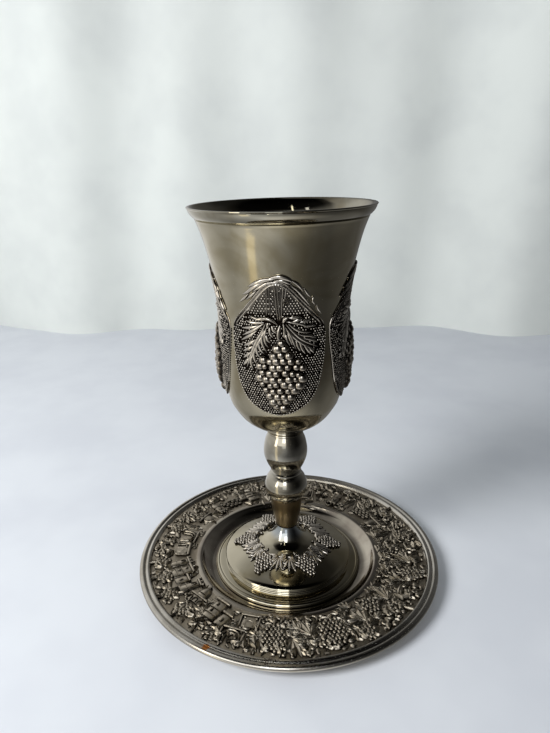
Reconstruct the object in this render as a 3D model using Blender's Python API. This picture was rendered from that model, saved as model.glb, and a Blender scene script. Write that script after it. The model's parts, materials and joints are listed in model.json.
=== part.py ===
"""Kiddush cup standing on its saucer, in metres, +Z up.

The origin is on the table, at the middle of the saucer's underside. The cup's axis is Z, and one
of the four vine medallions on the bowl faces -Y. Four pieces: bowl, stem, foot and saucer.
"""
import math

import bmesh
import bpy
from mathutils import Vector

MM = 0.001

# Heights above the table (mm)
SAUCER_FLOOR_TOP = 1.2          # the plain floor of the saucer's well
SEAM_GAP = 0.3                  # the hairline where two pieces meet
FOOT_SEAT = SAUCER_FLOOR_TOP + SEAM_GAP
STEM_BOTTOM = 18.4
STEM_TOP = 61.3
BOWL_BOTTOM = STEM_TOP + SEAM_GAP
RIM_TOP = 143.1

# Saucer (mm)
SAUCER_RADIUS = 60.0
SAUCER_SHEET = 1.1              # thickness of the metal
WELL_FLOOR_RADIUS = 29.9
WELL_EDGE_RADIUS = 35.2
WELL_EDGE_HEIGHT = 4.4
BAND_INNER_RADIUS = 37.0        # the relief band runs between these two radii
BAND_OUTER_RADIUS = 55.8
BAND_HEIGHT = 4.5
BAND_RELIEF = 1.1               # how far the tallest forms of the band stand up
BAND_HOUSES = 12                # houses round the band, with a tree between each two
BORDER_RADIUS = 56.4
BORDER_HEIGHT = 5.7

# Foot (mm)
FLANGE_RADIUS = 29.4
FLANGE_TOP = 2.9
DOME_RADIUS = 24.8
DOME_EDGE_HEIGHT = 6.0
FOOT_HOLLOW_RADIUS = 23.3
FOOT_SHEET = 1.2
VINE_INNER_RADIUS = 11.5
VINE_OUTER_RADIUS = 20.5
VINE_RELIEF = 0.9
VINE_REPEATS = 6

# Bowl (mm)
RIM_RADIUS = 31.8
RIM_LIP = 1.1                   # width of the rim's rounded top
BAND_FOOT_HEIGHT = 139.4        # lower edge of the slanted rim band
BAND_FOOT_RADIUS = 29.7
BOWL_FLOOR = 3.0                # metal under the middle of the bowl

# Medallions: 4 round the bowl, each an ogee plate with two vine leaves over a bunch of grapes
MEDALLIONS = 4
PLATE_BOTTOM = 75.1
PLATE_SHOULDER = 106.0
PLATE_TOP = 122.0
PLATE_HALF_ANGLE = 42.3         # degrees, at the shoulder
PLATE_EDGE_ANGLE = 1.4          # the plate's rim slopes back to the wall over this angle
NARROWEST_HALF_ANGLE = 24.0     # the columns stop closing in here, above and below the plate
PLATE_RELIEF = 0.8
BUNCH_MIDDLE = 90.5
BUNCH_HALF_HEIGHT = 13.0
BUNCH_HALF_ANGLE = 21.0
BUNCH_RELIEF = 1.4
LEAF_MIDDLE = 101.0
LEAF_HALF_HEIGHT = 8.5
LEAF_ANGLE = 24.0
LEAF_HALF_ANGLE = 15.0
LEAF_RELIEF = 0.7

# Columns round each turned piece
PLATE_COLUMNS = 10              # across one medallion plate
GAP_COLUMNS = 3                 # across the plain wall between two plates
STEM_COLUMNS = 16
FOOT_COLUMNS = 36
SAUCER_COLUMNS = 48

# Rows down the parts in relief
PLATE_ROWS = 14
BAND_ROWS = 5


def clear_scene():
    for obj in list(bpy.data.objects):
        bpy.data.objects.remove(obj)


def principled(name, base_color, roughness, metallic=1.0):
    material = bpy.data.materials.new(name)
    material.use_nodes = True
    shader = material.node_tree.nodes["Principled BSDF"]
    shader.inputs["Base Color"].default_value = (*base_color, 1.0)
    shader.inputs["Roughness"].default_value = roughness
    shader.inputs["Metallic"].default_value = metallic
    return material


def smooth_curve(stations, steps):
    """Points of a smooth curve through (radius, height) stations, steps of them per span."""
    padded = [stations[0], *stations, stations[-1]]
    points = []
    for before, start, end, after in zip(padded, padded[1:], padded[2:], padded[3:]):
        before, start, end, after = (Vector(place) for place in (before, start, end, after))
        for step in range(steps):
            t = step / steps
            point = 0.5 * (2.0 * start
                           + (end - before) * t
                           + (2.0 * before - 5.0 * start + 4.0 * end - after) * t ** 2
                           + (3.0 * start - before - 3.0 * end + after) * t ** 3)
            points.append((point.x, point.y))
    points.append(stations[-1])
    return points


def even_angles(columns):
    return [2.0 * math.pi * column / columns for column in range(columns)]


def oval(x, y, centre, half_size):
    """1 in the middle of an oval, 0 on its edge and outside it."""
    reach = math.hypot((x - centre[0]) / half_size[0], (y - centre[1]) / half_size[1])
    return math.sqrt(max(0.0, 1.0 - reach * reach))


def turned_piece(name, profile, angles_at, relief=None):
    """Revolve a profile that starts and ends on the axis into one closed solid.

    profile: (radius, height) in mm. angles_at(height) gives the columns' angles on that level,
    0 facing -Y. relief(row, angle, height) gives how far the surface stands proud, as
    (radius, height) in mm.
    """
    mesh = bmesh.new()
    rings = []
    for row, (radius, height) in enumerate(profile[1:-1], start=1):
        ring = []
        for angle in angles_at(height):
            out, up = relief(row, angle, height) if relief else (0.0, 0.0)
            reach = (radius + out) * MM
            place = (reach * math.sin(angle), -reach * math.cos(angle), (height + up) * MM)
            ring.append(mesh.verts.new(place))
        rings.append(ring)
    first = mesh.verts.new((0.0, 0.0, profile[0][1] * MM))
    last = mesh.verts.new((0.0, 0.0, profile[-1][1] * MM))
    count = len(rings[0])
    for column in range(count):
        beside = (column + 1) % count
        mesh.faces.new((first, rings[0][column], rings[0][beside]))
        mesh.faces.new((last, rings[-1][beside], rings[-1][column]))
        for upper, lower in zip(rings, rings[1:]):
            mesh.faces.new((upper[column], lower[column], lower[beside], upper[beside]))
    bmesh.ops.recalc_face_normals(mesh, faces=mesh.faces)
    data = bpy.data.meshes.new(name)
    mesh.to_mesh(data)
    mesh.free()
    data.shade_smooth()
    data.set_sharp_from_angle(angle=math.radians(40.0))
    piece = bpy.data.objects.new(name, data)
    bpy.context.scene.collection.objects.link(piece)
    return piece


def plate_half_angle(height):
    """Half the medallion plate's width at a height, in degrees: a round foot, straight
    shoulders and a blunt top, like an egg standing on its thick end under an arch."""
    if height <= PLATE_SHOULDER:
        fall = (PLATE_SHOULDER - height) / (PLATE_SHOULDER - PLATE_BOTTOM)
        return PLATE_HALF_ANGLE * max(0.0, 1.0 - min(1.0, fall) ** 2.6) ** 0.5
    rise = (height - PLATE_SHOULDER) / (PLATE_TOP - PLATE_SHOULDER)
    return PLATE_HALF_ANGLE * (1.0 - 0.62 * min(1.0, rise) ** 1.25)


def bowl_angles(height):
    """Columns that follow the medallions' outline, so their edges stay crisp."""
    half = max(plate_half_angle(height), NARROWEST_HALF_ANGLE)
    sector = 360.0 / MEDALLIONS
    on_plate = [half * (2.0 * step / PLATE_COLUMNS - 1.0) for step in range(PLATE_COLUMNS + 1)]
    gap_start = half + PLATE_EDGE_ANGLE
    gap = sector - 2.0 * gap_start
    in_gap = [gap_start + gap * step / GAP_COLUMNS for step in range(GAP_COLUMNS + 1)]
    columns = []
    for medallion in range(MEDALLIONS):
        columns += [math.radians(sector * medallion + angle) for angle in on_plate + in_gap]
    return columns


def medallion_relief(angle, height):
    """How far the bowl's outside stands proud of its plain wall (mm)."""
    if not PLATE_BOTTOM <= height <= PLATE_TOP:
        return 0.0
    sector = 360.0 / MEDALLIONS
    across = (math.degrees(angle) + sector / 2.0) % sector - sector / 2.0
    if abs(across) > plate_half_angle(height) + 0.1:
        return 0.0
    bunch_size = (BUNCH_HALF_ANGLE, BUNCH_HALF_HEIGHT)
    leaf_size = (LEAF_HALF_ANGLE, LEAF_HALF_HEIGHT)
    bunch = BUNCH_RELIEF * oval(across, height, (0.0, BUNCH_MIDDLE), bunch_size)
    leaf = LEAF_RELIEF * oval(abs(across), height, (LEAF_ANGLE, LEAF_MIDDLE), leaf_size)
    return PLATE_RELIEF + max(bunch, leaf)


def bowl():
    floor = [(0.0, BOWL_BOTTOM), (6.5, BOWL_BOTTOM)]
    underside = [(11.2, 63.6), (15.6, 67.0), (18.6, 71.2)]
    row_pitch = (PLATE_TOP - PLATE_BOTTOM) / PLATE_ROWS
    plate_rows = [PLATE_BOTTOM + row_pitch * row for row in range(PLATE_ROWS + 1)]
    wall_rows = [PLATE_BOTTOM - 0.5] + plate_rows + [PLATE_TOP + 0.5, 127.0, 131.5, 135.5, 139.0]
    wall = [(wall_radius(height), height) for height in wall_rows]
    band = [(BAND_FOOT_RADIUS, BAND_FOOT_HEIGHT),
            (RIM_RADIUS, RIM_TOP - 0.4),
            (RIM_RADIUS - 0.3, RIM_TOP),
            (RIM_RADIUS - RIM_LIP, RIM_TOP - 0.1)]
    inside = [(28.4, 139.0), (25.2, 130.4), (22.6, 119.4), (21.0, 106.0), (21.2, 92.0),
              (20.5, 82.0), (18.4, 74.6), (14.6, 69.2), (9.0, 65.8),
              (4.0, BOWL_BOTTOM + BOWL_FLOOR), (0.0, BOWL_BOTTOM + BOWL_FLOOR)]
    outside = floor + underside + wall
    profile = outside + band + inside

    def relief(row, angle, height):
        on_outside = row < len(outside)
        return (medallion_relief(angle, height) if on_outside else 0.0), 0.0

    piece = turned_piece("bowl", profile, bowl_angles, relief)
    piece.data.materials.append(principled("silver_plate", (0.62, 0.60, 0.54), 0.16))


def wall_radius(height):
    """Radius of the bowl's plain outer wall (mm): a gentle belly below, a bell flare above."""
    stations = [(20.2, 74.6), (21.8, 82.0), (22.45, 92.0), (22.2, 105.0), (23.1, 115.0),
                (24.9, 124.5), (27.1, 133.2), (29.3, 139.0)]
    curve = smooth_curve(stations, 8)
    for (low_radius, low), (high_radius, high) in zip(curve, curve[1:]):
        if height <= high:
            share = (height - low) / (high - low)
            return low_radius + share * (high_radius - low_radius)
    return curve[-1][0]


def stem():
    collar = [(0.0, STEM_TOP), (6.5, STEM_TOP), (6.7, 60.8), (6.3, 60.3), (6.9, 59.7), (6.6, 59.1)]
    upper_knop = smooth_curve([(6.9, 58.6), (7.8, 56.0), (8.35, 51.6), (7.6, 47.4),
                               (6.4, 44.6), (5.5, 42.8)], 2)
    neck_ring = [(5.9, 42.5), (5.9, 42.1), (5.5, 41.8)]
    lower_knop = smooth_curve([(6.6, 41.2), (8.1, 38.8), (8.1, 35.6), (7.2, 32.8), (5.9, 31.2)], 2)
    sleeve = [(6.2, 30.9), (6.15, 27.8), (5.6, 24.4), (4.8, 21.0), (4.3, STEM_BOTTOM),
              (0.0, STEM_BOTTOM)]
    profile = collar + upper_knop + neck_ring + lower_knop + sleeve
    columns = even_angles(STEM_COLUMNS)
    piece = turned_piece("stem", profile, lambda height: columns)
    piece.data.materials.append(principled("silver_plate_stem", (0.62, 0.60, 0.54), 0.16))


def vine_relief(angle, radius):
    """The foot's wreath: bunches of grapes with a leaf between each two (mm)."""
    pitch = 2.0 * math.pi / VINE_REPEATS
    across = (angle + pitch / 2.0) % pitch - pitch / 2.0
    middle = (VINE_INNER_RADIUS + VINE_OUTER_RADIUS) / 2.0
    half_width = (VINE_OUTER_RADIUS - VINE_INNER_RADIUS) / 2.0
    leaf_size = (0.28 * pitch * middle, half_width)
    bunch_size = (0.24 * pitch * middle, half_width)
    leaf = oval(across * middle, radius, (0.0, middle), leaf_size)
    bunch = oval((abs(across) - pitch / 2.0) * middle, radius, (0.0, middle), bunch_size)
    return VINE_RELIEF * max(0.6 * leaf, bunch)


def foot():
    neck_top = STEM_BOTTOM - SEAM_GAP
    trumpet = smooth_curve([(4.2, neck_top), (5.3, 15.9), (7.6, 13.2), (11.0, 11.2)], 2)
    dome = smooth_curve([(11.0, 11.2), (16.0, 9.5), (20.5, 8.0), (DOME_RADIUS, DOME_EDGE_HEIGHT)], 2)
    side = [(DOME_RADIUS + 0.1, DOME_EDGE_HEIGHT - 0.5)]
    for rib in range(2):
        height = DOME_EDGE_HEIGHT - 1.0 - 0.9 * rib
        side += [(DOME_RADIUS - 0.4, height), (DOME_RADIUS + 0.1, height - 0.5)]
    flange = [(DOME_RADIUS + 0.2, FLANGE_TOP), (FLANGE_RADIUS - 0.8, FLANGE_TOP - 0.5),
              (FLANGE_RADIUS, FLANGE_TOP - 0.9), (FLANGE_RADIUS, FOOT_SEAT)]
    hollow = [(FOOT_HOLLOW_RADIUS, FOOT_SEAT), (FOOT_HOLLOW_RADIUS, DOME_EDGE_HEIGHT - 1.5),
              (20.2, 8.0 - FOOT_SHEET), (15.6, 9.5 - FOOT_SHEET), (10.6, 11.2 - FOOT_SHEET),
              (6.4, 12.4), (3.4, 14.8), (0.0, 15.4)]
    profile = [(0.0, neck_top)] + trumpet + dome[1:] + side + flange + hollow
    dome_rows = range(len(trumpet) + 1, len(trumpet) + len(dome) - 1)
    columns = even_angles(FOOT_COLUMNS)

    def relief(row, angle, height):
        return 0.0, (vine_relief(angle, profile[row][0]) if row in dome_rows else 0.0)

    piece = turned_piece("foot", profile, lambda height: columns, relief)
    piece.data.materials.append(principled("silver_plate_foot", (0.60, 0.58, 0.52), 0.20))


def city_relief(angle, radius):
    """The saucer's band: a ring of houses, arches and trees, as broad raised forms (mm)."""
    across = math.degrees(angle) % 360.0
    depth = (radius - BAND_INNER_RADIUS) / (BAND_OUTER_RADIUS - BAND_INNER_RADIUS)
    houses = max(0.0, math.cos(math.radians(across * BAND_HOUSES))) * min(1.0, 1.6 * (1.0 - depth))
    trees = max(0.0, -math.cos(math.radians(across * BAND_HOUSES))) * min(1.0, 1.6 * depth)
    edge = max(0.0, min(1.0, 5.0 * depth, 5.0 * (1.0 - depth)))
    return BAND_RELIEF * edge * (0.25 + 0.75 * max(houses, trees))


def saucer():
    band_width = BAND_OUTER_RADIUS - BAND_INNER_RADIUS
    well = [(0.0, SAUCER_FLOOR_TOP), (WELL_FLOOR_RADIUS, SAUCER_FLOOR_TOP),
            (32.4, 1.9), (34.2, 3.2), (WELL_EDGE_RADIUS, WELL_EDGE_HEIGHT)]
    band = [(BAND_INNER_RADIUS + band_width * row / BAND_ROWS, BAND_HEIGHT)
            for row in range(BAND_ROWS + 1)]
    border = [(BORDER_RADIUS, BORDER_HEIGHT), (57.4, BORDER_HEIGHT), (57.8, BORDER_HEIGHT - 0.5),
              (58.2, BORDER_HEIGHT), (59.5, BORDER_HEIGHT - 0.1),
              (SAUCER_RADIUS, BORDER_HEIGHT - 0.7), (SAUCER_RADIUS, 4.0)]
    underside = [(59.0, 3.9), (BAND_OUTER_RADIUS, BAND_HEIGHT - SAUCER_SHEET),
                 (36.2, WELL_EDGE_HEIGHT - SAUCER_SHEET), (34.2, 1.3),
                 (WELL_FLOOR_RADIUS + 0.5, 0.0), (0.0, 0.0)]
    profile = well + band + border + underside
    rows_in_relief = range(len(well), len(well) + len(band))
    columns = even_angles(SAUCER_COLUMNS)

    def relief(row, angle, height):
        return 0.0, (city_relief(angle, profile[row][0]) if row in rows_in_relief else 0.0)

    piece = turned_piece("saucer", profile, lambda height: columns, relief)
    piece.data.materials.append(principled("antiqued_silver", (0.50, 0.47, 0.42), 0.32))


def main():
    clear_scene()
    bowl()
    stem()
    foot()
    saucer()


main()
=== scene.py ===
import json
import math
from functools import partial

import bpy
import numpy as np
from mathutils import Matrix, Vector

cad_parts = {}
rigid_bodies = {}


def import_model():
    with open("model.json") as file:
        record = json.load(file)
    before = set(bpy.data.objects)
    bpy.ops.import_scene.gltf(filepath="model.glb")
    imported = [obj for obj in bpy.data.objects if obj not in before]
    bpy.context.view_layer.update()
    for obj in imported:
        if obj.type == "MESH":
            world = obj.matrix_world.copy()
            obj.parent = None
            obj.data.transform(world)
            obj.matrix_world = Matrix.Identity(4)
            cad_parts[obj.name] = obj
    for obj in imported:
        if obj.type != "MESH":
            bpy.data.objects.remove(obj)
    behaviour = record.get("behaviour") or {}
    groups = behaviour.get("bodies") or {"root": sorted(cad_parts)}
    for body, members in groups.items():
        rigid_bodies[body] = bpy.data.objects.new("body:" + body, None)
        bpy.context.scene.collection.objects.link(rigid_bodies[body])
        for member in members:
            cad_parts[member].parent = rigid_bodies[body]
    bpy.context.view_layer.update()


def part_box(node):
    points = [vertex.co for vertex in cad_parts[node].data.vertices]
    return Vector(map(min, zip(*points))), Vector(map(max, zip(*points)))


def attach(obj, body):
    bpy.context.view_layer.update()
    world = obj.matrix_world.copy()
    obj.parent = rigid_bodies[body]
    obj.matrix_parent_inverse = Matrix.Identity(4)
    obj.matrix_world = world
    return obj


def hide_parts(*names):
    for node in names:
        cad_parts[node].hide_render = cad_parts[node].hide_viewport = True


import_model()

# A kiddush cup of plated silver standing in the well of its relief saucer.
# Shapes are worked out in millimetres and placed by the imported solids' boxes. A shape is
# (points, faces): an n x 3 array and an m x 4 array of quads, a triangle repeating its last corner.

MM = 0.001


def levels(node):
    """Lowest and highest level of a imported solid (mm)."""
    return [corner.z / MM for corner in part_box(node)]


BOWL_FOOT, _ = levels("bowl")
STEM_FOOT, STEM_TOP = levels("stem")
FOOT_SEAT, FOOT_TOP = levels("foot")
TABLE, _ = levels("saucer")
FLANGE_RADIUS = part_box("foot")[1].x / MM

# Bowl: (radius, height above the bowl's foot), mm
BOWL_BELLY = [(6.5, 0), (11.2, 2), (15.6, 5.4), (18.6, 9.6), (20.2, 13), (21.8, 20.4),
              (22.45, 30.4), (22.2, 43.4), (23.1, 53.4), (24.9, 62.9), (27.1, 71.6), (29.1, 77.2)]
BOWL_INSIDE = [(28.4, 77.4), (25.2, 68.8), (22.6, 57.8), (21, 44.4), (21.2, 30.4), (20.5, 20.4),
               (18.4, 13), (14.6, 7.6), (9, 4.2), (4, 3.1), (0, 3)]
RIM_BAND_FOOT = 77.7             # the groove under the rim band

# Medallions: an egg-shaped plate under a pointed arch, measured across the wall and up
PLATE_FOOT = 13.5                # above the bowl's foot
PLATE_SHOULDER, PLATE_TOP = 29.5, 47.0  # above the plate's foot: where it is widest, its point
PLATE_HALF_WIDTH = 16.7
WALL_GIRTH = 22.4                # the radius that turns across into an angle
PLATE_PROUD = 0.55
BEAD_PITCH = 0.92                # the punched ground: rows of round-headed dots
BEAD_ROWS = 0.87                 # from row to row, as a share of the pitch
ARCH_FOOT = 33.5                 # above it the dots are set a little wider
ARCH_EYE = (2.9, 40.4)           # the small ring in the arch
GRAPE_DIAMETER = 3.0
BUNCH_TOP, BUNCH_TIP = 27.0, 2.9
BUNCH_MIDDLE = 0.9               # across from the plate's middle line
BUNCH_GIRTH = np.array([(0, 0.3), (0.13, 3), (0.27, 5.8), (0.43, 7.3), (0.57, 7.1), (0.7, 6.3),
                        (0.83, 5), (1, 2.6)])

# Foot: (radius, height) of its trumpet and dome, mm
DOME_LINE = [(4.2, 18.1), (4.65, 16.8), (5.35, 15.3), (6.3, 13.9), (7.6, 12.55), (9.3, 11.3),
             (11.5, 10.4), (14.5, 9.6), (18, 8.75), (21.5, 7.6), (24, 6.6), (24.8, 6.1)]
WREATH_REPEATS = 6

# Saucer, mm
WELL_FLOOR = 1.2
BAND_LEVEL = 4.5
BAND_REACH = (37.4, 55.3)        # inner and outer radius of the band for the relief

LINE_PITCH = 0.35                # mm between spinning lines, coarser than real so that they show
SUNK = 0.4                       # mm that every raised form is let into the metal


# ---------------------------------------------------------------- shapes

def smooth_line(stations, spacing):
    """Points along a smooth curve through the stations, about spacing mm apart."""
    stations = [np.array(station, float) for station in stations]
    padded = [stations[0], *stations, stations[-1]]
    points = []
    for before, start, end, after in zip(padded, padded[1:], padded[2:], padded[3:]):
        steps = max(2, int(np.linalg.norm(end - start) / spacing))
        for step in range(steps):
            t = step / steps
            points.append(0.5 * (2.0 * start + (end - before) * t
                                 + (2.0 * before - 5.0 * start + 4.0 * end - after) * t ** 2
                                 + (3.0 * start - before - 3.0 * end + after) * t ** 3))
    return np.array([*points, stations[-1]])


def polar(out, angle, height):
    """Points from their distance out, angle round from -Y and height."""
    return np.stack(np.broadcast_arrays(out * np.sin(angle), -out * np.cos(angle), height), axis=-1)


def towards(origin, degrees, length):
    """The place that lies a length away in a heading on a flat ground."""
    heading = math.radians(degrees)
    return origin[0] + length * math.cos(heading), origin[1] + length * math.sin(heading)


def grid_faces(rows, columns, around):
    """Quads between rows of points, closed round into a tube if around."""
    row, column = np.meshgrid(np.arange(rows - 1), np.arange(columns if around else columns - 1),
                              indexing="ij")
    row, column = row.ravel(), column.ravel()
    beside = (column + 1) % columns
    return np.stack([row * columns + column, row * columns + beside,
                     (row + 1) * columns + beside, (row + 1) * columns + column], axis=1)


def facing_out(points, faces):
    """The same closed shape with its faces turned outwards."""
    a, b, c, d = (points[faces[:, corner]] for corner in range(4))
    if np.einsum("ij,ij->i", a, np.cross(b, c) + np.cross(c, d)).sum() < 0.0:
        triangle = (faces[:, 3] == faces[:, 2])[:, None]
        faces = np.where(triangle, faces[:, [2, 1, 0, 0]], faces[:, ::-1])
    return points, faces


def tube(rings, start, end):
    """Closed shape through rings of points, shut by a point at each end."""
    rings = np.asarray(rings, float)
    rows, columns = rings.shape[:2]
    column = np.arange(columns)
    beside = (column + 1) % columns
    tip = np.full((2, columns), rows * columns)
    top = (rows - 1) * columns
    faces = np.concatenate([grid_faces(rows, columns, True)[:, ::-1],
                            np.stack([column, beside, *tip], axis=1),
                            np.stack([top + beside, top + column, *(tip + 1)], axis=1)])
    return facing_out(np.concatenate([rings.reshape(-1, 3), [start, end]]), faces)


def merged(shapes):
    """Several shapes as one."""
    starts = np.cumsum([0, *(len(points) for points, _ in shapes)])
    return (np.concatenate([points for points, _ in shapes]),
            np.concatenate([faces + start for (_, faces), start in zip(shapes, starts)]))


def turned_round(shape, degrees):
    """A shape turned about Z, anticlockwise from above."""
    points, faces = shape
    return points @ np.array(Matrix.Rotation(math.radians(degrees), 3, "Z")).T, faces


def lathe(profile, columns, proud=None):
    """Closed shape of a (radius, height) profile that starts and ends on the axis.

    proud(radius, height, angle) gives arrays of how far each point stands up (mm).
    """
    profile = np.asarray(profile, float)
    radius, height = profile[1:-1, 0][:, None], profile[1:-1, 1][:, None]
    angle = np.linspace(0.0, 2.0 * math.pi, columns, endpoint=False)[None, :]
    lift = proud(radius, height, angle) if proud else 0.0
    return tube(polar(radius, angle, height + lift), (0, 0, profile[0, 1]), (0, 0, profile[-1, 1]))


def mesh_of(name, shape):
    """A mesh in metres from a shape in millimetres."""
    points, faces = shape
    mesh = bpy.data.meshes.new(name)
    triangle = faces[:, 3] == faces[:, 2]
    counts = np.where(triangle, 3, 4)
    keep = np.ones(faces.shape, bool)
    keep[triangle, 3] = False
    mesh.vertices.add(len(points))
    mesh.vertices.foreach_set("co", (points * MM).astype(np.float32).ravel())
    mesh.loops.add(int(counts.sum()))
    mesh.loops.foreach_set("vertex_index", faces[keep].astype(np.int32))
    mesh.polygons.add(len(faces))
    mesh.polygons.foreach_set("loop_start", (np.cumsum(counts) - counts).astype(np.int32))
    mesh.update(calc_edges=True)
    mesh.shade_smooth()
    return mesh


def shape_of(mesh):
    """A mesh in metres as a shape in millimetres."""
    mesh.calc_loop_triangles()
    points = np.empty(len(mesh.vertices) * 3, np.float32)
    mesh.vertices.foreach_get("co", points)
    corners = np.empty(len(mesh.loop_triangles) * 3, np.int32)
    mesh.loop_triangles.foreach_get("vertices", corners)
    corners = corners.reshape(-1, 3)
    return points.reshape(-1, 3) / MM, np.concatenate([corners, corners[:, 2:]], axis=1)


def shown(name, data):
    """A new object of the scene."""
    made = bpy.data.objects.new(name, data)
    bpy.context.scene.collection.objects.link(made)
    return made


def piece(name, shape, material, node, crease=60.0):
    """One visible piece of the part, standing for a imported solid."""
    mesh = mesh_of(name, shape)
    mesh.set_sharp_from_angle(angle=math.radians(crease))
    mesh.materials.append(material)
    made = shown(name, mesh)
    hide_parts(node)
    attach(made, "root")
    return made


# ---------------------------------------------------------------- raised forms on a surface

def round_section(s):
    """A half-round cord or wire, s from -1 to 1 across it."""
    return np.sqrt(np.clip(1.0 - s ** 2, 0.0, 1.0))


def flat_section(s):
    """A bar of masonry with soft edges."""
    return np.clip(1.0 - s ** 6, 0.0, 1.0) ** 0.5


def leaf_section(s):
    """A lobe of a leaf: rounded to its edges, with its vein standing up in the middle."""
    return 0.62 * np.clip(1.0 - s ** 2, 0.0, 1.0) ** 0.5 + 0.38 * np.exp(-(s / 0.17) ** 2)


def even_swell(t):
    """The same width all along, closing only at the ends."""
    return np.clip(np.minimum(t, 1.0 - t) / 0.06, 0.0, 1.0) ** 0.5


def lobe_swell(t):
    """Narrow where the lobe grows, widest beyond its middle, then a sharp tip."""
    return 1.9 * (0.12 + t) ** 0.7 * (1.0 - t) ** 0.62 * 0.93


def lance_swell(t):
    """Pointed at both ends, like a willow leaf."""
    return np.sin(math.pi * np.clip(t, 0.0, 1.0)) ** 0.8


def ridge(stations, width, lift, place, section=round_section, swell=even_swell,
          spacing=0.55, across=9, teeth=0.0, base=0.0):
    """Closed raised form along a curve on a surface.

    stations run along the surface (mm). place(across, along, proud) lays points on the surface.
    teeth notches the edges, 1.3 mm apart.
    """
    line = smooth_line(stations, spacing)
    line = np.insert(line, [1, len(line) - 1], [0.8 * line[0] + 0.2 * line[1],
                                                0.8 * line[-1] + 0.2 * line[-2]], axis=0)
    step = np.linalg.norm(np.diff(line, axis=0), axis=1)
    t = np.concatenate([[0.0], np.cumsum(step)]) / step.sum()
    along = np.gradient(line, axis=0)
    along /= np.linalg.norm(along, axis=1)[:, None]
    side = np.stack([-along[:, 1], along[:, 0]], axis=1)
    notch = 1.0 - teeth * ((t * step.sum() / 1.3) % 1.0)
    swelling = swell(t)[1:-1, None]
    half = 0.5 * width * swelling * notch[1:-1, None]
    s = np.sin(0.5 * math.pi * np.linspace(-1.0, 1.0, across))[None, :]
    top = base + lift * section(s) * np.sqrt(np.clip(swelling, 0.0, 1.0))
    under = np.linspace(0.6, -0.6, 3)[None, :]
    offset = np.concatenate([half * s, half * under], axis=1)
    proud = np.concatenate([top, np.full((len(half), 3), -SUNK)], axis=1)
    x, y = (line[1:-1, axis, None] + side[1:-1, axis, None] * offset for axis in (0, 1))
    start, end = (place(*line[tip], -0.5 * SUNK) for tip in (0, -1))
    return tube(place(x, y, proud), start, end)


def bunch_places(top, tip, girth, pitch, seed):
    """Places of the grapes in a bunch, in staggered rows from top to tip.

    girth gives (share of the way down, half width in mm).
    """
    rng = np.random.default_rng(seed)
    top, tip, girth = np.array(top, float), np.array(tip, float), np.array(girth)
    axis = tip - top
    length = np.linalg.norm(axis)
    axis /= length
    side = np.array([-axis[1], axis[0]])
    rows = int(length / (0.86 * pitch)) + 1
    places = []
    for row in range(rows):
        fall = row / max(1, rows - 1)
        half = np.interp(fall, girth[:, 0], girth[:, 1])
        columns = int((half + 0.5 * pitch) / pitch) + 1
        for column in range(-columns, columns + 1):
            across = column * pitch + 0.5 * pitch * (row % 2)
            if abs(across) <= half + 0.1 * pitch:
                across += rng.normal(0.0, 0.1) * pitch
                drop = fall * length + rng.normal(0.0, 0.1) * pitch
                places.append(top + axis * drop + side * across)
    return np.array(places)


# ---------------------------------------------------------------- the three surfaces

wall_line = smooth_line(np.array(BOWL_BELLY) + (0.0, BOWL_FOOT), 0.5)
dome_line = smooth_line(DOME_LINE, 0.4)


def along_line(places, values, where, step):
    """A line's value at a place, its slope there, and how far 1 mm square to it reaches."""
    slope = (np.interp(where + step, places, values)
             - np.interp(where - step, places, values)) / (2.0 * step)
    return np.interp(where, places, values), slope, 1.0 / np.sqrt(1.0 + slope ** 2)


def on_wall(across, rise, proud):
    """A place on a medallion of the bowl: mm across, mm above the plate's foot, mm proud."""
    height = np.asarray(rise + BOWL_FOOT + PLATE_FOOT, float)
    radius, slope, square = along_line(wall_line[:, 1], wall_line[:, 0], height, 0.5)
    return polar(radius + proud * square, across / WALL_GIRTH, height - proud * square * slope)


def on_dome(across, out, proud):
    """A place on the foot's dome: mm round from its middle line, mm from the axis, mm proud."""
    height, slope, square = along_line(dome_line[:, 0], dome_line[:, 1], out, 0.4)
    return polar(out - proud * square * slope, across / (0.5 * (out + 15.5)),
                 height + proud * square)


def on_flat(x, y, proud):
    """A place on a motif's own flat ground."""
    return np.stack(np.broadcast_arrays(x, y, proud), axis=-1)


# ---------------------------------------------------------------- node trees

def linear(hex_colour):
    """An sRGB hex colour as linear RGBA."""
    channels = [int(hex_colour[start:start + 2], 16) / 255.0 for start in (1, 3, 5)]
    values = [c / 12.92 if c <= 0.04045 else ((c + 0.055) / 1.055) ** 2.4 for c in channels]
    return (*values, 1.0)


def add_node(tree, kind, inputs=(), **settings):
    """Add a node, or take the one of that name, with its settings, and set or link its inputs.

    Inputs are given by socket or in order: a node stands for its first output, and a colour
    may be hex.
    """
    node = tree.nodes.get(kind) or tree.nodes.new(kind)
    for name, value in settings.items():
        setattr(node, name, value)
    for socket, value in inputs.items() if isinstance(inputs, dict) else enumerate(inputs):
        if isinstance(value, bpy.types.Node):
            value = value.outputs[0]
        if isinstance(value, bpy.types.NodeSocket):
            tree.links.new(value, node.inputs[socket])
        else:
            node.inputs[socket].default_value = linear(value) if str(value)[:1] == "#" else value
    return node


# What the points of a source can carry into a tree
CARRIED = {"outward": "FLOAT_VECTOR", "heading": "FLOAT_VECTOR", "grow": "FLOAT", "motif": "INT"}


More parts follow.
